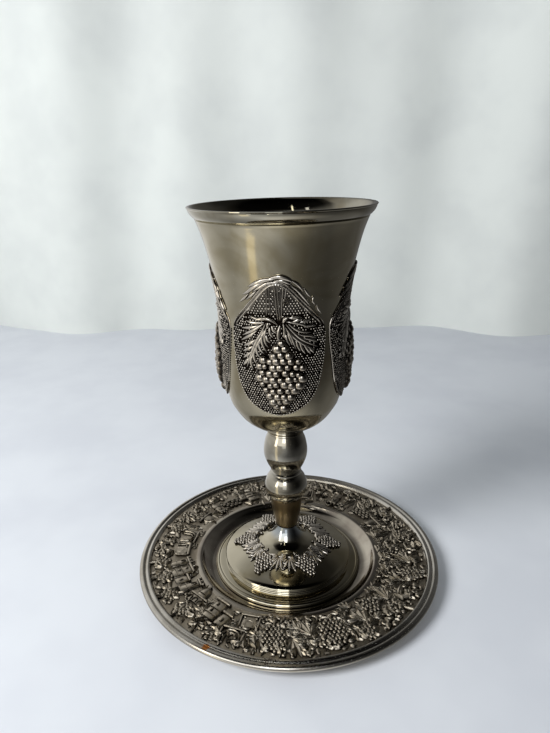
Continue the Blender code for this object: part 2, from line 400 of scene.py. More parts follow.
def geometry_tree(name, sockets):
    """A geometry tree with its named inputs, a finish last.

    Returns it, how to add to it, its inputs and what its source's points carry.
    """
    tree = bpy.data.node_groups.new(name, "GeometryNodeTree")
    for label, kind in {"Geometry": "Geometry", **sockets, "Finish": "Material"}.items():
        tree.interface.new_socket(label, in_out="INPUT", socket_type="NodeSocket" + kind)
    tree.interface.new_socket("Geometry", in_out="OUTPUT", socket_type="NodeSocketGeometry")
    add = partial(add_node, tree)
    carried = {label: add("GeometryNodeInputNamedAttribute", {"Name": label}, data_type=kind)
               for label, kind in CARRIED.items()}
    return tree, add, add("NodeGroupInput").outputs, carried


def varied_size(add, given, carried):
    """Each copy's size: its point's own, more or less the spread."""
    least, most = (add("ShaderNodeMath", [1.0, given["Size Spread"]], operation=way)
                   for way in ("SUBTRACT", "ADD"))
    chance = add("FunctionNodeRandomValue", {2: least, 3: most, "Seed": given["Seed"]},
                 data_type="FLOAT")
    return add("ShaderNodeMath", [carried["grow"], chance.outputs[1]], operation="MULTIPLY")


def end_tree(add, finish, placing):
    """Every tree ends the same way: copies set on points and made real, then their finish."""
    real = add("GeometryNodeRealizeInstances", [add("GeometryNodeInstanceOnPoints", placing)])
    painted = add("GeometryNodeSetMaterial", {"Geometry": real, "Material": finish})
    add("NodeGroupOutput", [painted])


def balls_tree():
    """Small balls, pressed a little flat, on the source points: grapes, beads and foliage."""
    tree, add, given, carried = geometry_tree("balls_on_points", {
        "Diameter": "Float", "Detail": "Int", "Squash": "Float", "Size Spread": "Float",
        "Seed": "Int"})
    radius = add("ShaderNodeMath", [given["Diameter"], 0.5], operation="MULTIPLY")
    ball = add("GeometryNodeMeshIcoSphere", {"Radius": radius, "Subdivisions": given["Detail"]})
    turned = add("FunctionNodeAlignRotationToVector", {"Vector": carried["outward"]}, axis="Z")
    size = varied_size(add, given, carried)
    depth = add("ShaderNodeMath", [size, given["Squash"]], operation="MULTIPLY")
    end_tree(add, given["Finish"], {
        "Points": given["Geometry"], "Instance": ball, "Rotation": turned,
        "Scale": add("ShaderNodeCombineXYZ", [size, size, depth])})
    return tree


def motifs_tree():
    """Motifs of a collection set on the source points, each turned to its heading."""
    tree, add, given, carried = geometry_tree("motifs_on_points", {
        "Motifs": "Collection", "Size Spread": "Float", "Seed": "Int"})
    motifs = add("GeometryNodeCollectionInfo", {
        "Collection": given["Motifs"], "Separate Children": True, "Reset Children": True})
    upright = add("FunctionNodeAlignRotationToVector", {"Vector": carried["outward"]}, axis="Z")
    turned = add("FunctionNodeAlignRotationToVector",
                 {"Rotation": upright, "Vector": carried["heading"]}, axis="X", pivot_axis="Z")
    end_tree(add, given["Finish"], {
        "Points": given["Geometry"], "Instance": motifs, "Pick Instance": True,
        "Instance Index": carried["motif"], "Rotation": turned,
        "Scale": varied_size(add, given, carried)})
    return tree


def round_tree():
    """The source mesh repeated round Z."""
    tree, add, given, _ = geometry_tree("repeated_round", {"Count": "Int"})
    share = add("ShaderNodeMath", [2.0 * math.pi, given["Count"]], operation="DIVIDE")
    angle = add("ShaderNodeMath", [add("GeometryNodeInputIndex"), share], operation="MULTIPLY")
    end_tree(add, given["Finish"], {
        "Points": add("GeometryNodePoints", {"Count": given["Count"]}),
        "Instance": given["Geometry"],
        "Rotation": add("ShaderNodeCombineXYZ", {"Z": angle})})
    return tree


ball_maker, motif_maker, ring_maker = balls_tree(), motifs_tree(), round_tree()


def grown(tree, source, inputs, carried=None):
    """The shape that a tree makes of a source shape (mm), its points carrying named arrays."""
    mesh = mesh_of(tree.name, source)
    for name, values in (carried or {}).items():
        kind = CARRIED[name]
        values = np.array(values, np.int32 if kind == "INT" else np.float32).ravel()
        mesh.attributes.new(name, kind, "POINT").data.foreach_set(
            "vector" if kind == "FLOAT_VECTOR" else "value", values)
    holder = shown(tree.name, mesh)
    modifier = holder.modifiers.new(tree.name, "NODES")
    modifier.node_group = tree
    for item in tree.interface.items_tree:
        if item.in_out == "INPUT" and item.name in inputs:
            modifier[item.identifier] = inputs[item.name]
    evaluated = holder.evaluated_get(bpy.context.evaluated_depsgraph_get())
    result = bpy.data.meshes.new_from_object(evaluated)
    shape = shape_of(result)
    holder.modifiers.remove(modifier)
    bpy.data.objects.remove(holder)
    bpy.data.meshes.remove(mesh)
    bpy.data.meshes.remove(result)
    return facing_out(*shape)


NO_FACES = np.zeros((0, 4), int)


def balls(places, surface, diameter, finish, proud=0.0, detail=1, squash=0.8, spread=0.1, seed=1):
    """Balls at places (across, along) of a surface, standing square to it."""
    centres = surface(*places.T, proud)
    outward = surface(*places.T, proud + 1.0) - centres
    return grown(ball_maker, (centres, NO_FACES),
                 {"Diameter": diameter * MM, "Detail": detail, "Squash": squash,
                  "Size Spread": spread, "Seed": seed, "Finish": finish},
                 {"outward": outward, "grow": np.ones(len(places))})


# ---------------------------------------------------------------- finishes

SMOOTH = {"interpolation_type": "SMOOTHSTEP"}
FRUIT_LEVEL = (1.15, 1.5)        # mm proud of the wall, where the medallions' fruit begins


def new_material(name):
    """A material, how to add to its tree, and the place on the piece in the part's own frame."""
    material = bpy.data.materials.new(name)
    material.use_nodes = True
    add = partial(add_node, material.node_tree)
    return material, add, add("ShaderNodeTexCoord").outputs["Object"]


def blotches(place, size_mm, detail=3.0, distortion=0.0):
    """What noise is given for soft blotches of about a size (mm)."""
    return {"Vector": place, "Scale": 1.0 / (size_mm * MM), "Detail": detail,
            "Roughness": 0.55, "Distortion": distortion}


def patches(add, place, size_mm, low, high, least=0.0, detail=3.0, distortion=0.0):
    """A share that changes in patches of about a size."""
    noise = add("ShaderNodeTexNoise", blotches(place, size_mm, detail, distortion))
    return add("ShaderNodeMapRange", [noise, low, high, least, 1.0], **SMOOTH)


def ragged(add, place, distance, size_mm, amount_mm, detail=3.0):
    """A distance made uneven, for a ragged edge."""
    noise = add("ShaderNodeTexNoise", blotches(place, size_mm, detail))
    return add("ShaderNodeMath", [noise, amount_mm * MM, distance], operation="MULTIPLY_ADD")


def uneven(add, place, size_mm, depth_mm, strength, detail=3.0, over=None):
    """A face that isn't quite true: dents of a size and depth, over other dents if given."""
    noise = add("ShaderNodeTexNoise", blotches(place, size_mm, detail))
    return add("ShaderNodeBump", {"Strength": strength, "Distance": depth_mm * MM,
                                  "Height": noise, **({"Normal": over} if over else {})})


def coated(add, colour, *coats):
    """A colour with coats laid over it, (share, colour) each."""
    for share, coat in coats:
        colour = add("ShaderNodeMix", {0: share, 6: colour, 7: coat}, data_type="RGBA").outputs[2]
    return colour


def round_the_axis(add, place):
    """The place as (radius, 0, height), so that a pattern runs in rings; its radius and height."""
    parts = add("ShaderNodeSeparateXYZ", [place]).outputs
    flat = add("ShaderNodeCombineXYZ", [parts["X"], parts["Y"]])
    radius = add("ShaderNodeVectorMath", [flat], operation="LENGTH").outputs["Value"]
    return add("ShaderNodeCombineXYZ", {"X": radius, "Z": parts["Z"]}), radius, parts["Z"]


def spun_silver_plate(name, clean="#c0b9a4", stained="#a59b80", roughness=0.11, streak=0.5,
                      dulling=0.07, tarnish_level=0.0, ripple=0.05, bright_core_mm=0.0):
    """Silver plate over spun brass, polished and handled.

    Spinning leaves fine rings that draw each highlight out up and down the wall. Years of
    handling leave a warm film in broad blotches and small dull smears. The wall is never
    quite true, so the reflections waver. A bright core, close to the axis, has no film and
    shows the cool white of bare silver. Below a tarnish level, where cleaning never reached,
    it is brown.
    """
    material, add, place = new_material(name)
    rings, radius, height = round_the_axis(add, place)
    film = patches(add, place, 17.0, 0.38, 0.7, distortion=0.6)
    smears = patches(add, place, 3.5, 0.5, 0.75, detail=5.0)
    colour = coated(add, clean, (film, stained))
    dull = add("ShaderNodeMath", [film, 0.5, smears], operation="MULTIPLY_ADD")
    dull = add("ShaderNodeMapRange", [dull, 0.0, 1.5, roughness, roughness + dulling], **SMOOTH)
    if bright_core_mm:
        beyond = add("ShaderNodeMapRange", [radius, bright_core_mm * MM,
                                            (bright_core_mm + 2.5) * MM], **SMOOTH)
        colour = coated(add, "#b2b8ba", (beyond, colour))
    if tarnish_level:
        brown = add("ShaderNodeMapRange", [ragged(add, place, height, 2.5, 1.6),
                                           (tarnish_level + 0.6) * MM,
                                           (tarnish_level + 1.4) * MM, 0.9, 0.0], **SMOOTH)
        colour = coated(add, colour, (brown, "#7c6b4c"))
        dull = add("ShaderNodeMath", [brown, 0.22, dull], operation="MULTIPLY_ADD")
    wavy = uneven(add, place, 11.0, 0.25, ripple, detail=1.0)
    add("Principled BSDF", {
        "Base Color": colour, "Roughness": dull, "Metallic": 1.0, "Anisotropic": streak,
        "Normal": uneven(add, rings, LINE_PITCH, 0.012, 0.25, detail=2.0, over=wavy),
        "Tangent": add("ShaderNodeTangent", direction_type="RADIAL", axis="Z")})
    return material


def profile_curve(add, value, stations):
    """A turned profile inside a shader: mm in, mm out, through (in, out) stations."""
    stations = np.array(sorted(map(tuple, stations)))
    low, high = stations.min(axis=0), stations.max(axis=0)
    share = add("ShaderNodeMapRange", [value, low[0], high[0]])
    curve = add("ShaderNodeFloatCurve", {"Value": share})
    points = curve.mapping.curves[0].points
    for place, (x, y) in enumerate((stations - low) / (high - low)):
        point = points[place] if place < 2 else points.new(x, y)
        point.location = (x, y)
        point.handle_type = "VECTOR"
    curve.mapping.update()
    return add("ShaderNodeMapRange", {"Value": curve, "To Min": low[1], "To Max": high[1]})


def proud_of(add, place, surface):
    """How far a place stands off the bowl's wall, the foot's dome or the saucer's band (mm)."""
    radius, height = (add("ShaderNodeMath", [value, 1.0 / MM], operation="MULTIPLY")
                      for value in round_the_axis(add, place)[1:])
    if surface == "wall":
        belly = wall_line[wall_line[:, 1] > BOWL_FOOT + 8.0][::5, ::-1]
        gap = [radius, profile_curve(add, height, belly)]
    elif surface == "dome":
        gap = [height, profile_curve(add, radius, dome_line[::3])]
    else:
        gap = [height, BAND_LEVEL]
    return add("ShaderNodeMath", gap, operation="SUBTRACT")


def facing_out_share(add, place, surface):
    """How squarely a face looks away from the piece: away from the axis on the wall, else up."""
    normal = add("ShaderNodeTexCoord").outputs["Normal"]
    if surface != "wall":
        return add("ShaderNodeSeparateXYZ", [normal]).outputs["Z"]
    parts = add("ShaderNodeSeparateXYZ", [place]).outputs
    level = add("ShaderNodeCombineXYZ", [parts["X"], parts["Y"]])
    away = add("ShaderNodeVectorMath", [level], operation="NORMALIZE")
    return add("ShaderNodeVectorMath", [normal, away], operation="DOT_PRODUCT").outputs["Value"]


def oxidised_relief(name, surface, low, high, bright, dark="#1a1410", depth_mm=0.4,
                    roughness=0.08, grain_depth_mm=0.012, shut=0.4, open_wide=0.82,
                    clean_below=-1.0, fruit=None):
    """Cast silver relief, blackened and then wiped bright on its high places.

    The oxide stays on the ground (low, mm) and in every hollow, and it is wiped off the tops
    (high, mm). Steep sides stay dark too, in part from the oxide left there and in part as
    painted shade on the flanks of each form, so each form is outlined in brown-black. The
    fruit stands highest, and the sides of each berry carry a grey painted shade.
    """
    material, add, place = new_material(name)
    proud = proud_of(add, place, surface)
    squarely = facing_out_share(add, place, surface)
    standing = add("ShaderNodeMapRange", [proud, low, high], **SMOOTH)
    # Painted shade: the flanks of every form turn dark the less squarely they face out; in part
    # this is the oxide left on steep sides
    facing = add("ShaderNodeMapRange", [squarely, 0.15, 0.8, 0.12, 1.0], **SMOOTH)
    tops = add("ShaderNodeMath", [standing, facing], operation="MULTIPLY")
    bare = add("ShaderNodeMapRange", [proud, clean_below - 0.08, clean_below, 1.0, 0.0],
               **SMOOTH)
    clean_and_unshaded = add("ShaderNodeMath", [tops, bare], operation="MAXIMUM")
    if fruit:
        # Painted shade: each berry goes darker, towards a dark grey, the less squarely its face
        # looks out, so its sides read as shaded
        berry_shade_mask = add("ShaderNodeMapRange", [squarely, 0.4, 0.88], **SMOOTH)
        berries = add("ShaderNodeMapRange", [proud, *FRUIT_LEVEL], **SMOOTH)
        bright = coated(add, bright, (berries, coated(add, "#6a6156", (berry_shade_mask, fruit))))
    open_sky = add("ShaderNodeAmbientOcclusion", {"Distance": depth_mm * MM},
                   samples=8, only_local=True).outputs["AO"]
    wiped = add("ShaderNodeMapRange", [open_sky, shut, open_wide], **SMOOTH)
    for share in (patches(add, place, 1.6, 0.25, 0.62, 0.6, detail=4.0), clean_and_unshaded):
        wiped = add("ShaderNodeMath", [wiped, share], operation="MULTIPLY")
    add("Principled BSDF", {
        "Base Color": coated(add, dark, (wiped, bright)), "Metallic": 1.0,
        "Roughness": add("ShaderNodeMapRange", [wiped, 0.0, 1.0, 0.5, roughness], **SMOOTH),
        "Normal": uneven(add, place, 0.35, grain_depth_mm, 0.3)})
    return material


def worn_patch(add, place, angle, radius_mm, size_mm):
    """Share of a ragged patch of the border, degrees round from -Y and mm from the axis."""
    centre = polar(radius_mm * MM, math.radians(angle), 5.5 * MM)
    away = add("ShaderNodeVectorMath", [place, centre], operation="DISTANCE").outputs["Value"]
    edge = ragged(add, place, away, 0.9, size_mm, detail=4.0)
    return add("ShaderNodeMapRange", [edge, 0.9 * size_mm * MM, 1.15 * size_mm * MM, 1.0, 0.0],
               **SMOOTH)


def zoned_silver_plate(name):
    """The saucer's plate, by its distance from the axis.

    It is polished in the well, satin and finely beaten on the band, and worn pale on the
    border. Oxide stays in the grooves and beside the relief; the same darkening also paints
    shade where other pieces stand close, round the cup's foot in the well and where the
    saucer sits on the table. In two places the border is worn: through to copper, and
    scuffed dark.
    """
    material, add, place = new_material(name)
    rings, radius, _ = round_the_axis(add, place)
    film = patches(add, place, 14.0, 0.38, 0.7, distortion=0.6)
    on_band, on_border = (
        add("ShaderNodeMapRange", [radius, inner * MM, outer * MM], **SMOOTH)
        for inner, outer in ((36.7, 37.7), (55.2, 55.9)))
    well, band, border = (coated(add, clean, (film, stained)) for clean, stained in (
        ("#beb7a8", "#a0968a"), ("#c4baa7", "#a59a87"), ("#d6d2c8", "#bdb7aa")))
    open_sky = add("ShaderNodeAmbientOcclusion", {"Distance": 1.5 * MM}, samples=8).outputs["AO"]
    clean_and_unshaded = add("ShaderNodeMapRange", [open_sky, 0.35, 0.85], **SMOOTH)
    scuffed = add("ShaderNodeMath", [worn_patch(add, place, -1.5, 57.0, 4.2),
                                     patches(add, place, 0.5, 0.42, 0.6, detail=4.0)],
                  operation="MULTIPLY")
    colour = coated(add, well, (on_band, band), (on_border, border))
    # Brown-black where the plate is shut in: oxide in the grooves and beside the relief, and
    # painted shade round the cup's foot in the well and where the saucer sits on the table
    colour = coated(add, "#1c1712", (clean_and_unshaded, colour))
    colour = coated(add, colour, (scuffed, "#3a2d22"),
                    (worn_patch(add, place, -23.0, 58.2, 2.3), "#d08a48"))
    dull = add("ShaderNodeMapRange", [on_band, 0.0, 1.0, 0.075, 0.42], **SMOOTH)
    for share, change in ((on_border, -0.22), (film, 0.05), (scuffed, 0.25)):
        dull = add("ShaderNodeMath", [share, change, dull], operation="MULTIPLY_ADD")
    inside = add("ShaderNodeMath", [1.0, on_border], operation="SUBTRACT")
    beaten = add("ShaderNodeMath", [on_band, inside], operation="MULTIPLY")
    strength = add("ShaderNodeMapRange", [beaten, 0.0, 1.0, 0.02, 0.6], **SMOOTH)
    hammered = uneven(add, place, 1.3, 0.12, strength, detail=2.0)
    add("Principled BSDF", {
        "Base Color": colour, "Roughness": dull, "Metallic": 1.0,
        "Normal": uneven(add, rings, LINE_PITCH, 0.01, 0.25, detail=2.0, over=hammered)})
    return material


def matt_surface(name, colour, shade, roughness, grain_mm, grain_depth_mm):
    """A plain painted or woven surface of the studio, with a faint grain."""
    material, add, place = new_material(name)
    add("Principled BSDF", {
        "Base Color": coated(add, colour, (patches(add, place, 60.0, 0.35, 0.7), shade)),
        "Roughness": roughness, "Normal": uneven(add, place, grain_mm, grain_depth_mm, 0.3)})
    return material


bright_plate = spun_silver_plate("spun silver plate")
rim_plate = spun_silver_plate("buffed silver plate", "#b1ad9f", "#9b937f", roughness=0.05,
                              streak=0.1, dulling=0.04)
knop_plate = spun_silver_plate("turned silver plate", "#bebbb1", "#a7a08f", roughness=0.1,
                               streak=0.2, dulling=0.05, tarnish_level=31.0, ripple=0.04)
foot_plate = spun_silver_plate("stamped silver plate", roughness=0.06, streak=0.2,
                               dulling=0.06, ripple=0.06, bright_core_mm=4.8)
cast_relief = oxidised_relief("oxidised cast silver relief", "wall", 0.43, 0.68, "#dcd5c9",
                              depth_mm=0.6, shut=0.42, open_wide=0.84, clean_below=0.24,
                              fruit="#bbb3a6")
wreath_relief = oxidised_relief("oxidised cast silver wreath", "dome", -0.05, 0.4, "#e6ded0",
                                shut=0.32, open_wide=0.76)
satin_relief = oxidised_relief("satin antiqued silver relief", "band", -0.1, 0.45, "#cac0ad",
                               "#1f1913", depth_mm=1.3, roughness=0.29, grain_depth_mm=0.03)
saucer_plate = zoned_silver_plate("satin silver plate")


# ---------------------------------------------------------------- bowl

def bowl_wall():
    """The bowl's smooth wall, its heavy slanted rim band and its plain inside."""
    band = [(29.25, 77.35), (28.95, 77.65), (29.3, 77.85),
            *smooth_line([(29.75, 78.1), (30.55, 78.9), (31.1, 79.75), (31.4, 80.5)], 0.4),
            (31.45, 80.68), (31.4, 80.78), (31.6, 80.95), (31.78, 81.15), (31.78, 81.32),
            (31.6, 81.46), (31.2, 81.5), (30.8, 81.35), (30.3, 80.9), (29.4, 79.3)]
    profile = np.concatenate([[(0, 0), (6.5, 0)], smooth_line(BOWL_BELLY, 1.0)[1:], band,
                              smooth_line(BOWL_INSIDE, 1.2)])
    return lathe(profile + (0.0, BOWL_FOOT), 256)


PLATE_OUTLINE = [
    (0, 0.1), (4, 0.8), (7.4, 2.3), (10.4, 4.6), (12.5, 7.5), (14, 11.2), (15, 15.5), (15.8, 20),
    (16.5, 25), (16.7, 29), (16.1, 31.8), (14.5, 34), (11.3, 37.2), (7.7, 41.2), (5, 44.4),
    (2.7, 46.4), (0, 47.3)]
plate_line = smooth_line(PLATE_OUTLINE, 0.36)


def nearest(across, rise, points):
    """Distance of places from the nearest of some points (mm)."""
    gap = np.full(np.broadcast(across, rise).shape, 1e9)
    for x, y in points:
        gap = np.minimum(gap, np.hypot(across - x, rise - y))
    return gap


def bunch_swell(across, rise):
    """The mound that the medallion's grapes lie on (mm)."""
    fall = (BUNCH_TOP - rise) / (BUNCH_TOP - BUNCH_TIP)
    half = np.interp(fall, BUNCH_GIRTH[:, 0], BUNCH_GIRTH[:, 1]) + 1.1
    inside = np.clip(1.0 - ((across - BUNCH_MIDDLE) / half) ** 2, 0.0, 1.0)
    ends = np.clip(1.0 - np.abs(fall - 0.5) / 0.56, 0.0, 1.0) ** 0.5
    return np.sqrt(inside) * ends


def plate_height(across, rise):
    """How far the plate's face stands above the bowl's wall (mm)."""
    gap = nearest(np.abs(across), rise, plate_line)
    edge = np.clip(gap / 0.3, 0.0, 1.0)
    shoulders = np.clip((rise - PLATE_SHOULDER) / 3.0, 0.0, 1.0)
    lip = (0.06 + 0.28 * shoulders) * np.exp(-((gap - 0.45) / 0.22) ** 2)
    second = 0.34 * shoulders * np.exp(-((gap - 1.4) / 0.24) ** 2)
    crown = 0.16 * np.clip((rise - 33.0) / 4.0, 0.0, 1.0)
    return edge * (PLATE_PROUD - 0.12 + lip + second + crown) - 0.1


def medallion_plate():
    """The plate of one medallion, let into the wall: its rows follow the outline."""
    inner = np.linspace(-1.0, 1.0, 77)
    edge = np.array([0, 0.15, 0.3, 0.45, 0.62, 0.85, 1.1, 1.35, 1.6])
    rings = []
    for half, rise in plate_line[1:-1]:
        rim = half - edge * min(1.0, half / 4.0)
        across = np.sort(np.concatenate([-rim, inner * rim[-1] * 0.985, rim]))
        under = np.linspace(half, -half, 14)[1:-1]
        proud = np.concatenate([plate_height(across, rise), np.full(len(under), -0.5)])
        rings.append(on_wall(np.concatenate([across, under]), rise, proud))
    start, end = (on_wall(0.0, plate_line[tip, 1], -0.2) for tip in (0, -1))
    return tube(rings, start, end)


# The two vine leaves as their raised blades, each along (across, rise) on the medallion, mm
LEFT_BLADES = [
    [(-3.8, 33.2), (-6.3, 32.9), (-8.5, 32.9), (-10.6, 33.5)],
    [(-5.2, 32.2), (-8.8, 31.1), (-12.4, 30.6)],
    [(-3.9, 33), (-6.3, 31.3), (-8.7, 29.8), (-12.3, 28)],
    [(-6.4, 30.4), (-9.4, 28.2), (-12.8, 26.2)],
    [(-3.4, 33.2), (-5.3, 29.3), (-7.7, 24.8), (-10.7, 17)],
    [(-2.8, 32.4), (-4.6, 28.9), (-7, 24.5), (-9.8, 18.4)],
    [(-6.8, 27.4), (-9, 25.8), (-11.8, 24.5)], [(-7.8, 25), (-9.6, 23.9), (-12.1, 22.6)],
    [(-8.6, 23), (-10, 21.8), (-12, 20.3)], [(-9.4, 20.8), (-10.7, 19.3), (-12, 17.6)],
    [(-4.2, 31), (-5, 28.3), (-4.8, 25.8), (-3.3, 23)],
    [(-3.4, 31.2), (-4, 28.6), (-3.8, 26.4), (-2.8, 24.7)],
    [(-5.8, 27.8), (-6.1, 25.6), (-5.3, 23.6), (-4, 22.5)],
    [(-6.4, 26.2), (-6.9, 24), (-6.4, 22.2), (-5.2, 21)],
    [(-7.2, 24.4), (-7.9, 22.4), (-7.6, 20.4), (-6.7, 18.7)],
    [(-8.2, 22.2), (-8.9, 20), (-8.7, 18.2), (-8.1, 16.8)], [(-2.8, 33.4), (-3.1, 31)],
    [(-1.7, 32.4), (-1.1, 30.6), (0, 29.5)], [(-2.4, 31.8), (-2.2, 29.6), (-1.2, 28)],
    [(-3.8, 29.3), (-3, 27.2), (-2, 26.4)]]
RIGHT_BLADES = [
    [(3.4, 34.9), (5.3, 34.7), (7.6, 35.2)], [(4.6, 33.2), (6.7, 34), (8.4, 34.5)],
    [(6.6, 32.9), (9.2, 33.5), (11.4, 34.2)], [(2.9, 33.5), (6.6, 32.8), (8.6, 32), (10.4, 30.6)],
    [(8.4, 31.4), (10.8, 31.7), (12.8, 31.3)],
    [(3.5, 32.8), (5.8, 30.9), (8.2, 29.8), (11.2, 29.3)],
    [(2.6, 33), (4.7, 30.4), (8.2, 27.1), (13.5, 24.1)],
    [(2.2, 32.2), (4.2, 29.4), (7.5, 26.3), (12.4, 23)],
    [(6.4, 29.2), (8.4, 28.6), (10.4, 28.3), (13, 27)], [(8.4, 27.5), (10.8, 27), (13.3, 25.6)],
    [(1.8, 33), (2.3, 31), (2.2, 27.7)], [(2.4, 31.8), (4.1, 29.2), (5.1, 26.7), (5.9, 24)],
    [(3.2, 29.9), (4.2, 27.5), (4.7, 25.4)], [(6.3, 27.7), (7.4, 25.9), (7.9, 24.1), (9, 22.1)],
    [(5.8, 27.2), (6.6, 25), (7.3, 23.2)], [(8, 26.3), (9.2, 24.6), (10.1, 23), (10.8, 21.8)],
    [(2.6, 29.5), (3.2, 27.1), (4, 25.4)], [(9.8, 25.1), (11, 23.5), (11.9, 22)]]
LEAF_STALKS = [
    [(1, 32.8), (0.5, 30.4), (0.4, 28), (0.8, 26.2)],
    [(0.6, 32.2), (-1.2, 33.8), (-3.4, 34.6), (-6, 34.3), (-7.6, 34.8), (-9.2, 35.3)],
    [(1.8, 32.8), (2.4, 34.4), (4, 35.3)]]
ARCH_LINES = [
    [(-2.7, 45), (-2.9, 40), (-3.2, 35.4)], [(-1.9, 45.6), (-2, 40), (-1.9, 35.2)],
    [(-0.5, 46.2), (-0.1, 39), (0.4, 33.6)], [(0.4, 46.2), (0.6, 39), (1, 33.6)],
    [(2.1, 45.4), (1.6, 39), (1.4, 34.6)], [(3, 44.8), (2.6, 41.8), (2, 38.4)]]
# The sprays bound along the arch, (line, share of the full width) each
ARCH_SPRAYS = [
    ([(-9.8, 40.2), (-7.8, 41.8), (-5.6, 43.8)], 0.8),
    ([(-12.4, 39.2), (-10.4, 40.6), (-8.2, 42.8)], 0.7),
    ([(-10.9, 41.9), (-8.6, 43.1), (-6, 45.1), (-3, 46.6)], 1.1),
    ([(-8.6, 44.7), (-6, 46), (-3, 47.2), (0.6, 47.7)], 1.2),
    ([(-7.4, 43), (-4.6, 44.9), (-1.6, 46.3), (2, 46.4)], 1),
    ([(-2.4, 47.5), (0.6, 48.2), (3.4, 47.4), (5.4, 45.9)], 1.2),
    ([(-0.6, 46.9), (2.2, 46.9), (4.8, 45.3)], 1), ([(4.4, 47), (6.4, 45.4), (8.2, 42.8)], 0.9),
    ([(3.8, 45.6), (6.2, 43.7), (8.8, 40.4), (10.6, 37.8)], 1),
    ([(8, 44.4), (9, 42.8), (10.6, 40.6)], 0.8), ([(11.2, 41.4), (11.1, 39.8), (12.2, 38)], 0.8),
    ([(12.4, 38.6), (13.2, 36.8), (14.6, 34.8)], 0.8)]


def medallion_vine():
    """Two vine leaves over the bunch and their stalks, and the arch's lines, eye and sprays."""
    eye = [(ARCH_EYE[0] + 0.85 * math.cos(a), ARCH_EYE[1] + 0.85 * math.sin(a))
           for a in np.linspace(0.0, 5.9, 12)]
    shapes = []
    for lines, width, lift, swell, across in (
            (LEFT_BLADES + RIGHT_BLADES, 1.2, 0.6, lance_swell, 11),
            (LEAF_STALKS, 1.35, 1.0, lance_swell, 11), (ARCH_LINES, 0.5, 0.42, even_swell, 5),
            ([eye], 0.5, 0.6, even_swell, 5)):
        shapes += [ridge(line, width, lift, on_wall, swell=swell, base=PLATE_PROUD - 0.15,
                         across=across) for line in lines]
    return merged(shapes + [ridge(line, 1.25 * share, 0.65, on_wall, swell=lance_swell, base=0.3)
                            for line, share in ARCH_SPRAYS])


def ground_dots(pitch, low, high):
    """Places of the punched dots, in close staggered rows over a stretch of the ground."""
    columns = int(PLATE_HALF_WIDTH / pitch) + 1
    rows = range(int(low / (BEAD_ROWS * pitch)) + 1, int(high / (BEAD_ROWS * pitch)) + 1)
    places = np.array([((column + 0.5 * (row % 2)) * pitch, row * BEAD_ROWS * pitch)
                       for row in rows for column in range(-columns, columns + 1)])
    across, rise = places.T
    half = np.interp(rise, plate_line[:, 1], plate_line[:, 0])
    rim = np.where(rise > PLATE_SHOULDER + 1.0, 1.9, 0.85)
    clear = ((np.abs(across) < half) & (nearest(np.abs(across), rise, plate_line) > rim)
             & (nearest(across, rise, [ARCH_EYE]) > 1.3) & (bunch_swell(across, rise) < 0.5))
    for lines, gap in ((LEFT_BLADES + RIGHT_BLADES + LEAF_STALKS, 0.6), (ARCH_LINES, 0.5)):
        points = np.concatenate([smooth_line(line, 0.7) for line in lines])
        clear &= nearest(across, rise, points) > gap
    return places[clear]


def edge_beads():
    """Places of the beading that edges the plate below its shoulders."""
    low = smooth_line([stop for stop in PLATE_OUTLINE if stop[1] < PLATE_SHOULDER], 0.86)
    inset = low * (1.0 - 0.35 / PLATE_HALF_WIDTH) + (0.0, 0.3)
    return np.concatenate([inset, inset[1:] * (-1.0, 1.0)])


def medallion():
    """One whole medallion, facing -Y."""
    shapes = [medallion_plate(), medallion_vine()]
    for pitch, low, high in ((BEAD_PITCH, 0.0, ARCH_FOOT),
                             (1.05 * BEAD_PITCH, ARCH_FOOT, PLATE_TOP)):
        dots = ground_dots(pitch, low, high)
        depth = np.random.default_rng(17).normal(0.0, 0.06, len(dots))
        shapes.append(balls(dots, on_wall, 0.8 * pitch, cast_relief, spread=0.2, seed=3,
                            proud=PLATE_PROUD - 0.06 + depth))
    shapes.append(balls(edge_beads(), on_wall, 0.72, cast_relief, PLATE_PROUD - 0.05, seed=8))
    grapes = bunch_places((1.3, BUNCH_TOP - 0.6), (0.6, BUNCH_TIP + 1.2), BUNCH_GIRTH, 2.25,
                          seed=7)
    shapes.append(balls(grapes, on_wall, GRAPE_DIAMETER, cast_relief, detail=2, squash=0.85,
                        proud=PLATE_PROUD - 0.1 + bunch_swell(*grapes.T), spread=0.28, seed=5))
    return merged(shapes)


wall = piece("bowl_wall", bowl_wall(), bright_plate, "bowl", crease=35.0)
wall.data.materials.append(rim_plate)
for face in wall.data.polygons:
    on_rim = face.center.z > (BOWL_FOOT + RIM_BAND_FOOT) * MM
    if on_rim or face.center.x * face.normal.x + face.center.y * face.normal.y < 0.0:
        face.material_index = 1
one_medallion = medallion()
for quarter, side in enumerate(("front", "right", "back", "left")):
    piece("medallion_" + side, turned_round(one_medallion, 90.0 * quarter), cast_relief, "bowl")


# ---------------------------------------------------------------- stem

